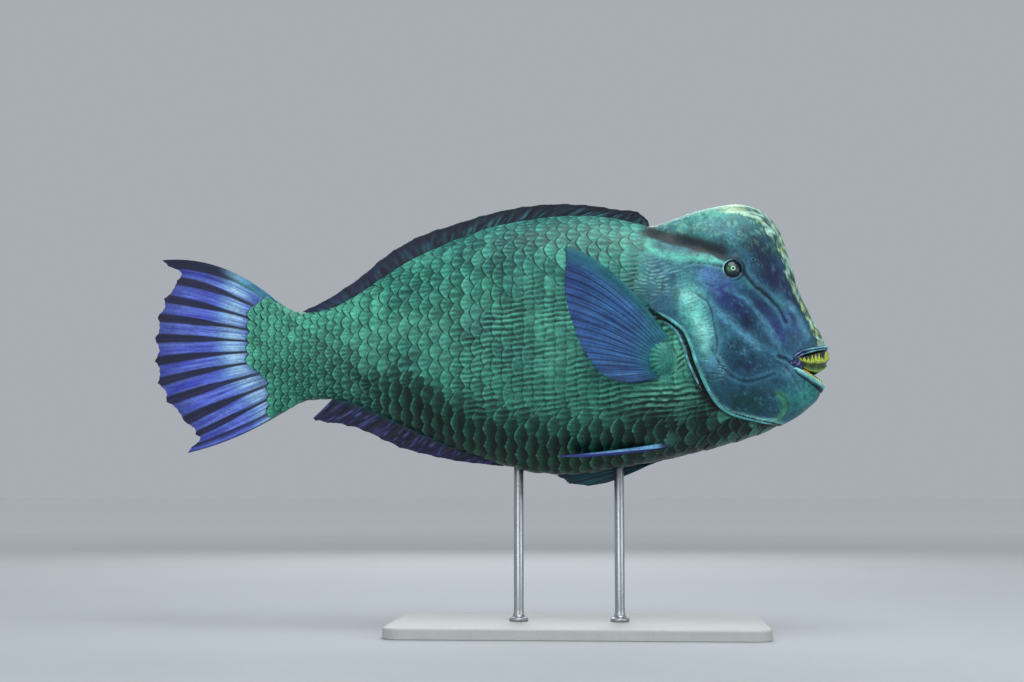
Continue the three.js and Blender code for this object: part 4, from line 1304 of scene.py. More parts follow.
def buildFin(name, fin, slot, node, paintIt):
    middle, normal, u, v, groove = finGrid(fin)
    ray = rayHeight(u, v, fin["rays"])
    half = fin["rootHalf"] + (fin["rimHalf"] - fin["rootHalf"]) * np.sqrt(v)
    half = half * 0.92 + fin["ridge"] * (1 - 0.78 * v) * (ray - 0.15)
    # fine joints across the rays
    joints = 0.5 + 0.5 * np.cos(2 * np.pi * v / 0.022)
    half = half + 0.10 * ray * joints * smooth(v, 0.2, 0.5)
    half = np.maximum(half, 0.3)
    ripple = fin.get("ripple", 0.0) * np.sin(2 * np.pi * u * (fin["rays"] - 1)) * v
    middle = middle + normal * ripple[..., None]
    paint = paintIt(u, v, ray, groove)
    near, far = middle + normal * half[..., None], middle - normal * half[..., None]
    sheetPiece(name, near, far, slot, [node], "fins", np.clip(paint, 0, 1))


finColours = {
    "violet": (62, 72, 188),
    "violetPale": (116, 142, 226),
    "cyan": (132, 200, 232),
    "navy": (8, 12, 34),
    "dark": (14, 22, 44),
    "teal": (36, 108, 118),
    "tealPale": (70, 150, 158),
    "purple": (58, 58, 128),
    "blue": (34, 78, 134),
    "bluePale": (84, 138, 190),
    "white": (196, 214, 240),
}
ink = {name: colour(*value) for name, value in finColours.items()}


def streak(u, v, shift, fine=140, long=5):
    return rough(u * fine, v * long, 1.0, shift)


tailFin = {
    "rays": 12, "each": 18, "rows": 76, "scallop": 0.035, "ragged": 0.012, "shift": 0.5,
    "rootHalf": 5, "rimHalf": 0.7, "ridge": 1.1, "ripple": 0.5,
    "root": [[-352, 0, 62], [-362, 0, 30], [-364, 0, 0], [-360, 0, -30], [-330, 0, -60], [-306, 0, -88]],
    "bend": [[-452, 0, 152], [-460, 0, 70], [-462, 0, 10], [-458, 0, -40], [-434, 0, -102], [-410, 0, -163]],
    "rim": [[-565, 0, 138], [-527, 0, 115], [-546, 0, 84], [-561, 0, 50], [-566, 0, 12],
            [-565, 0, -31], [-559, 0, -70], [-540, 0, -104], [-506, 0, -140], [-491, 0, -160],
            [-514, 0, -184]],
}


def paintTail(u, v, ray, groove):
    c = np.tile(ink["violet"], (*u.shape, 1))
    fine, broad = streak(u, v, 31, 170, 4), streak(u, v, 32, 40, 3)
    c = tinted(c, 0.35 + 0.45 * fine + 0.25 * broad, ink["violetPale"])
    band = np.exp(-((v - 0.27 - 0.12 * (1 - u)) / 0.13) ** 2) * (0.8 + 0.45 * fine)
    c = tinted(c, 0.85 * band, ink["cyan"])
    c = tinted(c, 0.45 * band ** 2, ink["white"])
    c = tinted(c, 0.60 * smooth(v, 0.72, 1.0) * (0.7 + 0.4 * fine), ink["navy"])
    wider = 0.78 - 0.30 * smooth(v, 0.35, 0.75)
    lines = smooth(groove, wider, wider + 0.2) * (0.35 + 0.65 * smooth(v, 0.04, 0.3))
    c = tinted(c, 0.96 * lines * smooth(u, 0.0, 0.06) * smooth(u, 1.0, 0.94), ink["navy"])
    c = tinted(c, 0.35 * np.clip(-fine, 0, 1), ink["purple"])
    c = tinted(c, 0.95 * smooth(u, 0.11, 0.03) * smooth(v, 0.30, 0.55), ink["dark"])
    c = tinted(c, 0.7 * smooth(u, 0.10, 0.02) * smooth(v, 0.5, 0.25), ink["tealPale"])
    c = tinted(c, 0.8 * smooth(u, 0.988, 0.998), ink["navy"])
    return tinted(c, 0.5 * smooth(v, 0.16, 0.02), ink["teal"])


def lineRoot(line, rearX, frontX, sink):
    def at(u):
        x = rearX + (frontX - rearX) * u
        return np.stack([x, 0 * x, along(line, x) + sink], -1)
    return at


def halfway(root, rim, lift):
    def at(u):
        return (root(u) + smoothCurve(rim, len(u))) / 2 + np.array([0, 0, lift])
    return at


dorsalRim = [
    [-318, 0, 51.2], [-279, 0, 70], [-220, 0, 109], [-181, 0, 142], [-126, 0, 174.5], [-63, 0, 195.5],
    [-4, 0, 212.5], [54, 0, 223.5], [113, 0, 227], [171, 0, 222.5], [209, 0, 215.5], [237, 0, 212.5],
    [254, 0, 198],
]
dorsalRoot = lineRoot(backLine, -300, 258, -5)
dorsalFin = {
    "rays": 21, "each": 12, "rows": 34, "scallop": 0.045, "ragged": 0.03, "shift": 0.5, "rootHalf": 4,
    "rimHalf": 0.7, "ridge": 1.0, "root": dorsalRoot, "bend": halfway(dorsalRoot, dorsalRim, 2),
    "rim": dorsalRim,
}
analRim = [
    [-300, 0, -128], [-286, 0, -132], [-250, 0, -137], [-219, 0, -145], [-186, 0, -160],
    [-153, 0, -175], [-120, 0, -184], [-87, 0, -191.5], [-54, 0, -197.5], [-21, 0, -201], [16, 0, -205],
]
analRoot = lineRoot(bellyLine, -262, 22, 5)
analFin = {
    "rays": 12, "each": 16, "rows": 40, "scallop": 0.05, "ragged": 0.02, "shift": 0.5, "rootHalf": 4,
    "rimHalf": 0.7, "ridge": 1.1, "root": analRoot, "bend": halfway(analRoot, analRim, -2), "rim": analRim,
}


def paintDorsal(u, v, ray, groove):
    c = np.tile(ink["navy"], (*u.shape, 1))
    fine = streak(u, v, 33, 160, 2.5)
    glow = np.clip(0.4 * ray * (1 - 0.5 * v) + 0.5 * fine, 0, 1)
    c = tinted(c, 0.6 * glow * smooth(v, 1.05, 0.3), ink["teal"])
    flame = np.clip(2 * fine - 0.7, 0, 1)
    c = tinted(c, 0.4 * flame * smooth(u, 0.2, 0.6) * smooth(v, 0.9, 0.2), ink["tealPale"])
    c = tinted(c, 0.25 * smooth(u, 0.5, 0.0) * ray, ink["purple"])
    return tinted(c, 0.35 * smooth(v, 0.95, 0.99), ink["tealPale"])


def paintAnal(u, v, ray, groove):
    c = np.tile(ink["navy"], (*u.shape, 1))
    fine = streak(u, v, 34, 120, 3)
    c = tinted(c, 0.7 * np.clip(0.5 * ray + 0.4 * fine, 0, 1) * (0.4 + 0.6 * v), ink["purple"])
    c = tinted(c, 0.35 * np.clip(2 * fine - 0.6, 0, 1) * ray, ink["violetPale"])
    return tinted(c, 0.4 * smooth(v, 0.3, 0.0), ink["teal"])


def sideArc(points, side, inside):
    arc = smoothCurve([[x, 0, z] for x, z in points], 200)

    def at(u):
        x, z = (np.interp(u, np.linspace(0, 1, 200), arc[:, k]) for k in (0, 2))
        return sidePoint(x, z, side, -inside)
    return at


def pectoralFin(side):
    rim = [[124, side * 176, 130], [124, side * 170, 100], [123, side * 160, 62], [131, side * 149, 24],
           [148, side * 139, -20], [168, side * 132, -52], [190, side * 126, -70], [218, side * 117, -76]]
    root = sideArc([[284, -4], [266, -16], [256, -38], [258, -56], [266, -68]], side, 3)

    def bend(u):
        lean = np.stack([0 * u - 4, np.full(len(u), side * 6.0), 54 * (1 - u) ** 2 - 4 * u], -1)
        return (root(u) + smoothCurve(rim, len(u))) / 2 + lean
    return {
        "rays": 23, "each": 11, "rows": 58, "scallop": 0.012, "ragged": 0.012, "shift": 0.5, "rootHalf": 4.5,
        "rimHalf": 0.6, "ridge": 0.9, "ripple": 0.25, "root": root, "bend": bend, "rim": rim,
    }


def paintPectoral(u, v, ray, groove):
    c = np.tile(ink["blue"], (*u.shape, 1))
    fine, broad = streak(u, v, 35, 200, 3.5), streak(u, v, 36, 30, 2)
    c = tinted(c, np.clip(0.08 + 0.35 * fine + 0.35 * ray + 0.3 * broad, 0, 1) * 0.8, ink["bluePale"])
    c = tinted(c, 0.4 * smooth(v, 0.55, 0.95) * smooth(u, 0.9, 0.2), ink["purple"])
    c = tinted(c, 0.55 * smooth(groove, 0.6, 0.95) * (0.5 + 0.5 * smooth(v, 0.05, 0.4)), ink["navy"])
    c = tinted(c, 0.35 * np.clip(-broad - 0.2 * fine, 0, 1), ink["navy"])
    c = tinted(c, 0.8 * smooth(u, 0.16, 0.03), ink["teal"])
    c = tinted(c, 0.5 * smooth(u, 0.03, 0.0), ink["tealPale"])
    c = tinted(c, 0.55 * smooth(u, 0.75, 1.0), ink["dark"])
    return tinted(c, 0.65 * smooth(v, 0.30, 0.04), ink["teal"])


pelvicSpread = {
    # root, rim and sag of each side, as x, distance from the middle, z
    -1: ([[286, 46, -171], [258, 42, -177]], [[112, 96, -190], [114, 74, -190.5], [140, 52, -191]], -3),
    1: ([[292, 16, -188], [262, 12, -193]],
        [[98, 26, -213], [110, 30, -228], [136, 30, -236], [170, 28, -235], [203, 24, -225],
         [236, 18, -209]], -2),
}


def pelvicFin(side):
    root, edge, sag = pelvicSpread[side]
    root, edge = ([[x, side * y, z] for x, y, z in line] for line in (root, edge))

    def bend(u):
        return (smoothCurve(root, len(u)) + smoothCurve(edge, len(u))) / 2 + np.array([0, 0, sag])
    return {
        "rays": 6, "each": 16, "rows": 60, "scallop": 0.03, "ragged": 0.015, "shift": 0.5, "rootHalf": 4,
        "rimHalf": 0.7, "ridge": 1.0, "root": root, "bend": bend, "rim": edge,
    }


def paintPelvicRight(u, v, ray, groove):
    # navy over the fin, its own dark colour deepened as painted shade, with violet along the rays
    c = np.tile(ink["navy"], (*u.shape, 1))
    fine = streak(u, v, 37, 60, 4)
    c = tinted(c, 0.25 + 0.4 * ray + 0.3 * fine, ink["violet"])
    c = tinted(c, 0.6 * smooth(u, 0.035, 0.01) * smooth(v, 0.9, 0.5), ink["cyan"])
    return tinted(c, 0.9 * smooth(v, 0.12, 0.06), ink["navy"])


def paintPelvicLeft(u, v, ray, groove):
    c = np.tile(ink["dark"], (*u.shape, 1))
    fine = streak(u, v, 38, 60, 4)
    return tinted(c, np.clip(0.45 * ray + 0.35 * fine, 0, 1), ink["teal"])


buildFin("caudal_fin_rays", tailFin, "blue_fin", "caudal_fin", paintTail)
buildFin("dorsal_fin_rays", dorsalFin, "dark_fin", "dorsal_fin", paintDorsal)
buildFin("anal_fin_rays", analFin, "dark_fin", "anal_fin", paintAnal)
buildFin("pectoral_right_rays", pectoralFin(-1), "blue_fin", "pectoral_fin_right", paintPectoral)
buildFin("pectoral_left_rays", pectoralFin(1), "blue_fin", "pectoral_fin_left", paintPectoral)
buildFin("pelvic_right_rays", pelvicFin(-1), "blue_fin", "pelvic_fin_right", paintPelvicRight)
buildFin("pelvic_left_rays", pelvicFin(1), "dark_fin", "pelvic_fin_left", paintPelvicLeft)

print("eyes, mouth and gills")


sideNames = {-1: "right", 1: "left"}


def sweep(name, rings, slot, replaces, look, paint):
    # closed sections, [along, round, xyz], joined into one closed body
    rows, count = rings.shape[:2]
    points = np.vstack([rings.reshape(-1, 3), rings[0].mean(0), rings[-1].mean(0)])
    paint = np.vstack([paint.reshape(-1, 3), paint[0].mean(0), paint[-1].mean(0)])
    faces = [gridFaces(rows, count, closed=True), endFans(rows, count)]
    u, v = np.meshgrid(np.linspace(0.01, 0.99, rows), np.linspace(0.01, 0.99, count + 1), indexing="ij")
    flat = np.stack([u, v], -1).reshape(-1, 2)
    quadUv = flat[gridFaces(rows, count + 1)]
    capUv = np.repeat([[0.005, 0.5], [0.995, 0.5]], count * 3, axis=0)
    if facesInward(points, faces[0]):
        faces = [f[:, ::-1] for f in faces]
        quadUv = quadUv[:, ::-1]
    uv = np.vstack([quadUv.reshape(-1, 2), capUv])
    makePiece(name, points, faces, slot, replaces, finish[look], uv, {"paint": np.clip(paint, 0, 1)})


def hoop(name, rings, middle, paint):
    # closed sections set round in a ring, joined into one piece of skin
    rows, count = rings.shape[:2]
    i, j = np.meshgrid(np.arange(rows), np.arange(count), indexing="ij")
    n, m = (i + 1) % rows, (j + 1) % count
    faces = np.stack([i * count + j, i * count + m, n * count + m, n * count + j], -1).reshape(-1, 4)
    points = rings.reshape(-1, 3)
    if facesInward(points, faces, middle):
        faces = faces[:, ::-1]
    u, v = np.meshgrid(np.linspace(0.02, 0.98, rows), np.linspace(0.02, 0.98, count), indexing="ij")
    uv = np.stack([u, v], -1).reshape(-1, 2)[faces].reshape(-1, 2)
    makePiece(name, points, faces, "head_skin", material=finish["skin"], uv=uv,
              masks={"paint": np.clip(paint.reshape(-1, 3), 0, 1)})


def surfaceAt(x, z, side, extra=0.0):
    # the finished skin at a place in side view, and its outward direction
    x, z = np.asarray(x, float), np.asarray(z, float)
    around = aroundOf(sidePoint(x, z, -1).reshape(-1, 3)).reshape(x.shape)
    rise = skinRise(x, around)
    low, high = skinPoint(x, around, rise + extra), skinPoint(x, around, rise + extra + 1)
    out = (high - low) / np.linalg.norm(high - low, axis=-1, keepdims=True)
    mirror = np.array([1, -side, 1])
    return low * mirror, out * mirror


def unit(v):
    return v / np.maximum(np.linalg.norm(v, axis=-1, keepdims=True), 1e-9)


def ribbon(name, line, side, rise, wide, thick, slot, tones, shift=0.0, wavy=0.0, lean=0.0):
    # a flattened bar lying along a line on the skin
    count = 120
    path = smoothCurve([[x, 0, z] for x, z in line], count)
    x, z = path[:, 0] + shift, path[:, 2]
    around = aroundOf(sidePoint(x, z, -1))
    w = np.linspace(0, 1, count)
    taper = (np.minimum(smooth(w, 0, 0.10), smooth(w, 1, 0.88)) * 0.9 + 0.1)[:, None, None]
    h = rise(x, z) + wavy * rough(w * 40, 0 * w, 1.0, 41)
    mirror = np.array([1, -side, 1])
    base = skinPoint(x, around, h) * mirror
    out = unit(skinPoint(x, around, h + 1) * mirror - base)
    across = unit(np.cross(unit(np.gradient(base, axis=0)), out))
    a = np.linspace(0, 2 * np.pi, 17)[:-1]
    level, rising = (np.cos(a) * wide)[None, :, None], (np.sin(a) * thick)[None, :, None]
    rings = base[:, None] + across[:, None] * level * taper + out[:, None] * (rising * taper + lean * level)
    # painted light on the bar's outward side and painted shade on its underside
    light, dark = (colour(*t) for t in tones)
    lit = smooth(np.sin(a), -0.3, 0.7)[None, :] * (0.8 + 0.2 * np.sin(w * 50))[:, None]
    sweep(name, rings, slot, (), "skin", tinted(np.tile(dark, (count, len(a), 1)), lit, light))


def gillFlapRise(x, z):
    side = np.abs(np.sin(np.pi * aroundOf(sidePoint(x, z, -1)))) ** 0.5
    return (skin["gillLift"] - 0.7) * side


def makeGills(side):
    name = sideNames[side]
    edge = [[262, 38], [284, 25], [306, 8], [318, -17], [326, -43], [347, -88], [362, -108], [382, -121],
            [431, -133], [462, -138]]
    inner = edge[1:-4]
    ribbon(f"gill_edge_{name}", edge, side, gillFlapRise, 2.6, 1.25, "head_skin",
           ((96, 186, 186), (20, 60, 70)), shift=1.2, wavy=0.25)
    ribbon(f"gill_membrane_{name}", inner, side, lambda x, z: -0.6 + 0 * x, 2.0, 1.1, "head_skin",
           ((110, 176, 190), (12, 30, 44)), shift=-10.5, wavy=0.5, lean=0.25)
    ribbon(f"gill_fold_{name}", inner[:-1], side, lambda x, z: -1.2 + 0 * x, 1.6, 1.0, "scaled_skin",
           ((56, 130, 120), (8, 30, 30)), shift=-14.5, wavy=0.5)


def paintEye(across, turn, front):
    # across is the distance from the pupil's middle in mm, front is true on the ball's front half
    c = np.tile(colour(7, 18, 34), (*across.shape, 1))
    wave = rough(turn * 6, across, 1.1, 52)
    c = tinted(c, front * smooth(across, 12.5, 6) * (0.55 + 0.35 * wave), colour(24, 72, 66))
    patch = np.exp(-((across * np.cos(turn) - 6) ** 2 + (across * np.sin(turn) - 1) ** 2) / 20)
    c = tinted(c, front * 0.8 * patch, colour(64, 132, 72))
    c = tinted(c, front * 0.4 * smooth(across, 8, 5) * np.clip(np.sin(turn * 46), 0, 1), colour(80, 130, 90))
    c = tinted(c, front * 0.8 * np.exp(-((across - 5.4) / 0.6) ** 2), colour(8, 20, 30))
    c = tinted(c, front * np.exp(-((across - 2.8) / 0.9) ** 2), colour(190, 222, 206))
    c = tinted(c, front * smooth(across, 1.8, 1.4), colour(1, 2, 4))
    # darker towards the ball's rim: a dark ring, deepened as painted shade where the lid meets it
    return tinted(c, front * 0.9 * smooth(across, 9.6, 11.6), colour(3, 8, 18))


def makeEye(side):
    seat, outward, centre = eyeSeat(side)
    # level points to the tail on both sides
    level = unit(np.cross(outward, np.array([0, 0, 1.0]))) * -side
    above = np.cross(level, outward) * -side
    rows, count = 70, 96
    # closer together at the front
    polar = np.pi * np.linspace(0, 1, rows + 2)[1:-1] ** 1.35
    polar, turn = np.meshgrid(polar, np.linspace(0, 2 * np.pi, count + 1)[:-1], indexing="ij")
    across = eye["radius"] * np.sin(polar)
    front = polar < np.pi / 2
    # a clear bulge over the iris, with the pupil set a little into it
    bulge = 0.4 * np.exp(-(across / 6.5) ** 2) - 0.35 * smooth(across, 2.0, 1.5)
    rays = 0.06 * np.sin(turn * 46 + 3 * rough(turn * 9, across, 1.0, 51))
    radius = eye["radius"] + front * bulge + rays * smooth(across, 2, 4) * smooth(across, 12, 8)
    sideways = level * np.cos(turn)[..., None] + above * np.sin(turn)[..., None]
    direction = outward * np.cos(polar)[..., None] + sideways * np.sin(polar)[..., None]
    points = (centre + direction * radius[..., None]).reshape(-1, 3)
    poles = centre + outward * (eye["radius"] + 0.05), centre - outward * eye["radius"]
    points = np.vstack([points, *poles])
    paint = paintEye(across, turn, front).reshape(-1, 3)
    paint = np.vstack([paint, colour(1, 2, 4), colour(10, 26, 44)])
    faces = [gridFaces(rows, count, closed=True), endFans(rows, count)]
    if facesInward(points, faces[0], centre):
        faces = [f[:, ::-1] for f in faces]
    reach = 0.48 * polar / np.pi
    flat = np.stack([0.5 + reach * np.cos(turn), 0.5 + reach * np.sin(turn)], -1).reshape(-1, 2)
    flat = np.vstack([flat, [0.5, 0.5], [0.98, 0.5]])
    uv = flat[np.concatenate([f.ravel() for f in faces])]
    name = sideNames[side]
    makePiece(f"eyeball_{name}", points, faces, "eyeball", [f"eye_{name}"], finish["eye"], uv,
              {"paint": paint})
    makeLid(name, side, seat, outward, level, above)


def makeLid(name, side, seat, outward, level, above):
    # a low ring of skin round the ball, fuller above it, with a fine fold outside
    # its section: distance from the eye's middle and height over the skin
    section = np.array([
        [22.5, -1.6], [21.0, -0.1], [19.8, 0.35], [18.9, 0.05], [18.0, 0.25], [17.0, 0.9], [16.0, 1.4],
        [15.1, 1.6], [14.4, 1.4], [13.9, 0.7], [13.6, -0.4], [13.6, -2.5], [17.0, -4.5], [21.0, -3.8],
    ])
    far, high = section[:, 0][None, :], section[:, 1][None, :]
    t = np.linspace(0, 2 * np.pi, 145)[:-1, None]
    brow = 0.75 + 0.35 * np.sin(t)
    far = far * (1 + 0.035 * np.cos(2 * t) * smooth(far, 14, 20))
    plane = seat + level * (far * np.cos(t))[..., None] + above * (far * np.sin(t))[..., None]
    base = surfaceAt(plane[..., 0], plane[..., 2], side)[0]
    lift = high * np.where(high > 0, brow, 1) + 0.12 * rough(t * 14, far, 1.3, 53) * (high > 0)
    # inside the ring the lid stands on the ball's own plane, not on the skin
    inner = smooth(far, 17.0, 14.5)[..., None]
    points = (base + outward * lift[..., None]) * (1 - inner) + (plane + outward * lift[..., None]) * inner
    c = bodyPaint(base.reshape(-1, 3)).reshape(base.shape)
    # painted shade in front, a pale arc of painted highlight on the tail side
    c = tinted(c, 0.55 * (high > 0) * smooth(np.cos(t - 2.9), -0.3, 0.9), colour(10, 28, 44))
    crest = np.exp(-((far - 15.2) / 0.9) ** 2) * (high > 0)
    c = tinted(c, 0.9 * crest * smooth(np.cos(t - 0.45), 0.35, 1), colour(150, 214, 214))
    # painted shade in the fine fold outside, on its front side
    fold = np.exp(-((far - 18.9) / 0.9) ** 2)
    c = tinted(c, 0.8 * fold * smooth(np.cos(t - 3.2), -0.7, 0.6), colour(5, 14, 24))
    # painted shade in the groove where the lid meets the ball
    c = tinted(c, 0.9 * smooth(far, 14.5, 13.8), colour(4, 9, 17))
    hoop(f"eyelid_{name}", points, seat, c)


def makeNostrils(side):
    for number, (x, z) in enumerate(nostrils, 1):
        a = np.linspace(0, 2 * np.pi, 41)[:-1]
        base, out = surfaceAt(x + 2.7 * np.cos(a), z + 2.2 * np.sin(a), side)
        run = unit(np.roll(base, -1, 0) - np.roll(base, 1, 0))
        across = unit(np.cross(run, out))
        b = np.linspace(0, 2 * np.pi, 11)[:-1]
        rings = (base[:, None] + across[:, None] * np.cos(b)[None, :, None]
                 + out[:, None] * (np.sin(b) * 0.75)[None, :, None])
        paint = tinted(bodyPaint(rings.reshape(-1, 3)), 0.2, colour(90, 150, 160))
        hoop(f"nostril_{number}_{sideNames[side]}", rings, [x, base[:, 1].mean(), z], paint)


def roundSnout(line, count, start):
    # a path over the plain snout from the right corner of the mouth to the left one
    x = np.concatenate([np.linspace(start, 536, 400), np.linspace(536.02, skin["snout"], 700)])
    pts = np.array(line, float)
    z = np.interp(x, pts[:, 0], pts[:, 1])
    p = sidePoint(x, z, -1)
    keep = np.abs(p[:, 1]) > 1e-3
    right = np.vstack([p[keep], p[keep][-1] * np.array([1, 0, 1])])
    both = np.vstack([right, right[::-1][1:] * np.array([1, -1, 1])])
    run = np.concatenate([[0], np.cumsum(np.linalg.norm(np.diff(both, axis=0), axis=1))])
    t = np.linspace(0, run[-1], count)
    path = np.stack([np.interp(t, run, both[:, k]) for k in range(3)], -1)
    # round off the corner where the blunt front starts
    for _ in range(count * 6 // 100):
        path[1:-1] = (path[:-2] + 2 * path[1:-1] + path[2:]) / 4
    run = unit(np.gradient(path, axis=0) * np.array([1, 1, 0]))
    out = np.stack([run[:, 1], -run[:, 0], 0 * t], -1)
    if out[count // 2, 0] < 0:
        out = -out
    return path, out


def makeLip(name, line, start, tall, folds, look, seed):
    # folds: height in the lip from -1 to 1, how far it stands out in mm, half height
    count = 240
    path, out = roundSnout(line, count, start)
    w = np.linspace(-1, 1, count)[:, None]
    q = np.linspace(-1.15, 1.15, 34)[None, :]
    x = path[:, 0][:, None]
    height = np.interp(x, *np.array(tall).T)
    wave = 0.10 * rough(w * 9, 0 * q, 1.0, seed + 3)
    roll = [proud * np.exp(-((q - middle - wave) / size) ** 2) for middle, proud, size in folds]
    face = sum(roll) * smooth(np.abs(q), 1.15, 0.85)
    sunk = 3.5 * smooth(np.abs(q), 0.9, 1.15)
    knobs = 1 + 0.26 * rough(w * 21, q * 1.3, 1.0, seed) + 0.12 * rough(w * 60, q * 3, 1.0, seed + 1)
    ends = smooth(np.abs(w), 1.0, 0.90) * 0.95 + 0.05
    far = face * knobs * ends - sunk
    up = np.array([0, 0, 1])
    front = path[:, None] + out[:, None] * far[..., None] + up * (q * height * ends)[..., None]
    backs = np.linspace(0.8, -0.8, 6)[None, :]
    rear = (path - out * 6)[:, None] + up * (backs * height * ends)[..., None]
    rings = np.concatenate([front, rear], 1)
    # paler the further the rolls stand out: painted light on the rolls, painted shade between them
    top = np.clip(face / 3.6, 0, 1) * np.ones_like(w)
    patch = 0.5 + 0.5 * rough(w * 15, q * 1.5, 1.0, seed + 2)
    corner = smooth(x, look["cornerTo"], look["cornerTo"] - 16) * np.ones_like(q)
    c = tinted(np.tile(colour(*look["dark"]), (*top.shape, 1)), top ** 1.6, colour(*look["mid"]))
    c = tinted(c, top ** 3 * (0.45 + 0.55 * patch), colour(*look["light"]))
    # towards the corner, navy with violet-blue and painted highlight on the tops of the rolls
    shade = tinted(np.tile(colour(6, 12, 30), (*top.shape, 1)), 0.8 * top ** 2, colour(48, 56, 118))
    shade = tinted(shade, 0.8 * top ** 3 * smooth(patch, 0.55, 0.9), colour(134, 150, 200))
    c = tinted(c, 0.9 * corner, shade)
    under = np.tile(colour(*look["dark"]), (count, 6, 1))
    sweep(name, rings, "head_skin", (), "skin", np.concatenate([c, under], 1))


def flames(w, q, count, foot, low, high, seed):
    # teeth pointing up from a ridge at q = foot: 1 on a tooth, 0 in a gap
    cell = (w + 1) / 2 * count + 0.35 * rough(w * count * 0.35, 0 * w, 1.0, seed)
    k = np.floor(cell).astype(int)
    length = low + (high - low) * (0.5 + 0.5 * noiseTable[(k * 7 + seed) % 256, seed])
    climb = np.clip((foot - q) / length, 0, 1.2)
    half = 0.52 * (1 - climb ** 1.5)
    return smooth(half - np.abs(cell - k - 0.5), -0.03, 0.14), climb


def makeBeak(name, node, line, start, topLine, bottomLine, proud, upper):
    # line is the middle of the plate's band, with its top and bottom edges beside it
    count, rows = 400, 42
    path, out = roundSnout(line, count, start)
    x = path[:, 0]
    w = np.linspace(-1, 1, count)[:, None]
    q = np.linspace(0, 1, rows)[None, :]
    top, bottom = (np.interp(x, *np.array(edge).T) for edge in (topLine, bottomLine))
    z = top[:, None] + (bottom - top)[:, None] * q
    wave = 0.035 * rough(w * 9, 0 * q, 1.0, 63)
    fine = rough(w * 150, q * 9, 1.0, 62)
    if upper:
        foot = 0.50 + wave
        tooth, climb = flames(w, q, 25, foot, 0.20, 0.44, 64)
        ridge = np.exp(-((q - foot - 0.02) / 0.06) ** 2)
        face = proud - 2.6 * smooth(q, 0.16, 0.0) - 0.9 * smooth(q, foot, 0.3)
        face = face - 3.8 * smooth(q, foot + 0.02, 0.80) + 0.9 * np.exp(-((q - 0.93) / 0.05) ** 2)
        face = face - 3.0 * smooth(q, 0.94, 1.0)
        above = smooth(q, foot + 0.03, foot - 0.02)
        far = face + above * (1.5 * tooth - 0.7 * (1 - tooth)) + 0.8 * ridge + 0.08 * fine
    else:
        foot = 0.92
        tooth, climb = flames(w, q, 33, foot, 0.55, 0.85, 66)
        ridge = np.exp(-((q - 0.85) / 0.12) ** 2)
        above = np.ones_like(q + w)
        far = proud + 1.1 * tooth - 0.6 * (1 - tooth) - 1.2 * smooth(q, 0.2, 0.0) + 0.06 * fine
    corner = smooth(np.abs(w), 1.0, 0.93)
    far = far * corner - 2.0 * (1 - corner)
    # the rear goes back up with every sixth height
    deep = np.minimum(far[:, -1:], 0) - 5.5 + 0 * z[:, ::-6]
    far, z = np.hstack([far, deep]), np.hstack([z, z[:, ::-6]])
    rings = np.stack([path[:, 0:1] + out[:, 0:1] * far, path[:, 1:2] + out[:, 1:2] * far, z], -1)
    tones = {"cream": (226, 230, 140), "yellow": (188, 204, 52), "green": (92, 128, 30), "dark": (10, 26, 6),
             "moss": (30, 62, 22), "lime": (136, 184, 46)}
    t = {key: colour(*value) for key, value in tones.items()}
    # dark where no tooth is painted: painted shade in the gaps between the teeth
    c = np.tile(t["dark"], (count, rows, 1))
    # the teeth green to yellow, with painted cream highlight towards their tips
    teethAndShine = tinted(np.tile(t["green"], (count, rows, 1)), 0.35 + 0.65 * smooth(fine, -0.6, 0.6), t["yellow"])
    teethAndShine = tinted(teethAndShine, 0.75 * smooth(climb, 0.25, 0.8) * smooth(fine, -0.8, 0.2), t["cream"])
    c = tinted(c, above * tooth, teethAndShine)
    if upper:
        below = 1 - above
        c = tinted(c, below, t["moss"])
        c = tinted(c, 0.45 * below * smooth(rough(w * 20, q * 4, 1.0, 67), 0, 0.8), t["green"])
        c = tinted(c, 0.8 * np.exp(-((q - 0.93) / 0.045) ** 2) * np.ones_like(w), t["lime"])
        # yellow along the ridge with a painted cream highlight on its crest
        c = tinted(c, 0.85 * ridge * (0.8 + 0.2 * fine), t["yellow"])
        c = tinted(c, 0.55 * ridge ** 3 * smooth(fine, -0.4, 0.6), t["cream"])
        # near-black just under the lip: painted shadow
        c = tinted(c, 0.85 * smooth(q, 0.14, 0.02) * np.ones_like(w), t["dark"])
    else:
        spot = np.exp(-((np.abs(w) - 0.85) / 0.06) ** 2) * np.ones_like(q)
        c = tinted(c, 0.85 * spot, colour(226, 136, 46))
        c = tinted(c, 0.6 * ridge * np.ones_like(w), t["cream"])
    c = np.concatenate([c, np.tile(t["dark"], (count, deep.shape[1], 1))], 1)
    sweep(name, rings, "beak_plate", [node], "beak", c)


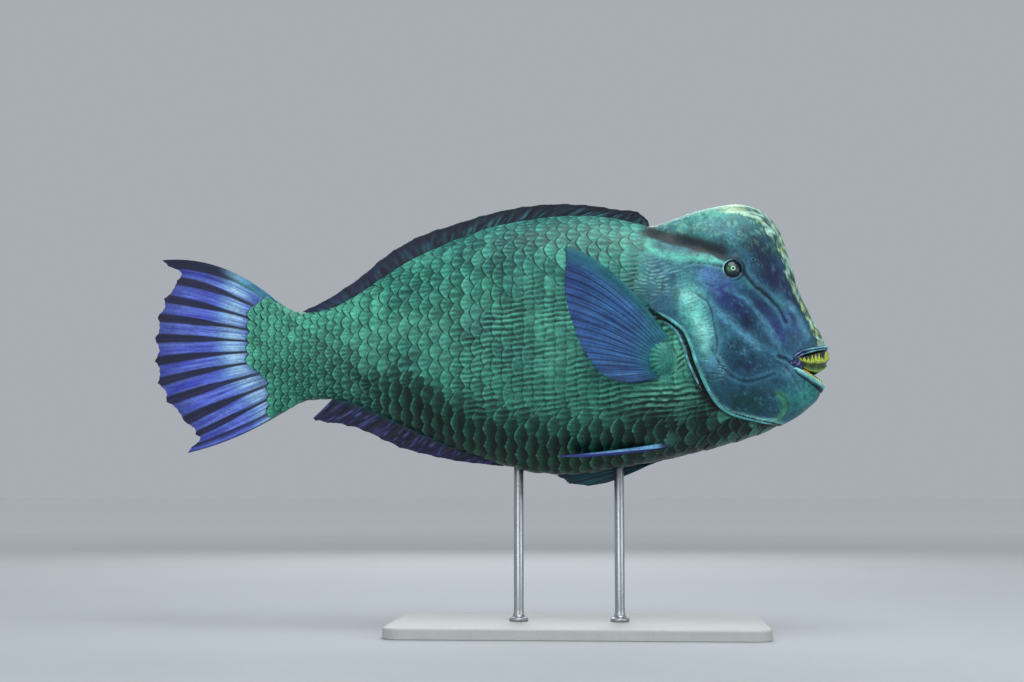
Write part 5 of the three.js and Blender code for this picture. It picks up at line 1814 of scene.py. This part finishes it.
def makeCorner(side):
    # the knobbly flesh in the corner of the mouth
    count, sides = 60, 40
    w = np.linspace(0, 1, count)
    x, z = 476 + 26 * w, -38.5 - 3.5 * w - 6 * w ** 2
    tall = 10.5 * np.sin(np.pi * np.clip(0.06 + 0.9 * w, 0, 1)) ** 0.6
    base = sidePoint(x, z, side)[:, 1:2]
    x, z, w, tall = (value[:, None] for value in (x, z, w, tall))
    turn = np.linspace(0, 2 * np.pi, sides + 1)[:-1]
    knobs = 1 + 0.16 * rough(w * 9, turn * 2.1, 1.0, 81) + 0.08 * rough(w * 22, turn * 5, 1.0, 82)
    knobs[:, -1] = knobs[:, 0]
    wide = 3.6 * np.sin(np.pi * np.clip(0.1 + 0.8 * w, 0, 1))
    out = wide * np.cos(turn) * knobs - 2.6 - 3 * w ** 2
    points = np.stack([x + 0 * turn, base + side * out, z + tall * np.sin(turn) * knobs], -1)
    tone = 0.5 + 0.5 * rough(w * 14, turn * 3.4, 1.0, 83)
    paint = np.tile(colour(8, 12, 34), (count, sides, 1))
    # paler where the knobs stand out, with pale tops: painted highlight
    paint = tinted(paint, tone * smooth(out, -4.5, 0), colour(54, 62, 122))
    paint = tinted(paint, 0.8 * smooth(tone, 0.75, 0.95) * smooth(out, -3, 0), colour(150, 168, 214))
    sweep(f"mouth_corner_{sideNames[side]}", points, "head_skin", (), "skin", paint)


for side in (-1, 1):
    makeEye(side)
    makeNostrils(side)
    makeGills(side)
upperLip = {"light": (140, 212, 222), "mid": (66, 138, 166), "dark": (6, 16, 32), "cornerTo": 512}
lowerLip = {"light": (150, 222, 216), "mid": (72, 156, 160), "dark": (8, 28, 44), "cornerTo": 488}
makeLip("lip_upper", [[477, -39], [484, -33], [495, -26], [508, -22], [520, -19.5], [542.5, -15]], 478,
        [[477, 2.6], [484, 5.0], [495, 6.2], [508, 4.8], [520, 4.0], [542.5, 3.8]],
        [(0.46, 4.0, 0.38), (-0.48, 3.3, 0.34)], upperLip, 71)
makeLip("lip_lower", [[478, -49], [484, -53], [495, -58.5], [508, -66], [518, -71.5], [532, -81],
                      [542.5, -88]], 479,
        [[478, 3.4], [490, 6.4], [512, 7.4], [542.5, 7.0]],
        [(0.16, 4.8, 0.62)], lowerLip, 75)
for side in (-1, 1):
    makeCorner(side)
makeBeak("beak_upper_teeth", "beak_upper", [[488, -42], [542.5, -40]], 490,
         [[488, -34], [494, -31], [516, -24], [542.5, -17.5]],
         [[488, -41], [494, -46], [506, -54.5], [520, -57.5], [530, -55.5], [537, -51.5], [542.5, -47]],
         0.6, True)
makeBeak("beak_lower_teeth", "beak_lower", [[491, -51.5], [508, -59], [534, -74], [542.5, -79]], 492,
         [[491, -48.5], [508, -56], [533, -71.5], [542.5, -77]],
         [[491, -52.5], [508, -61.5], [533, -77], [542.5, -83]], 0.4, False)
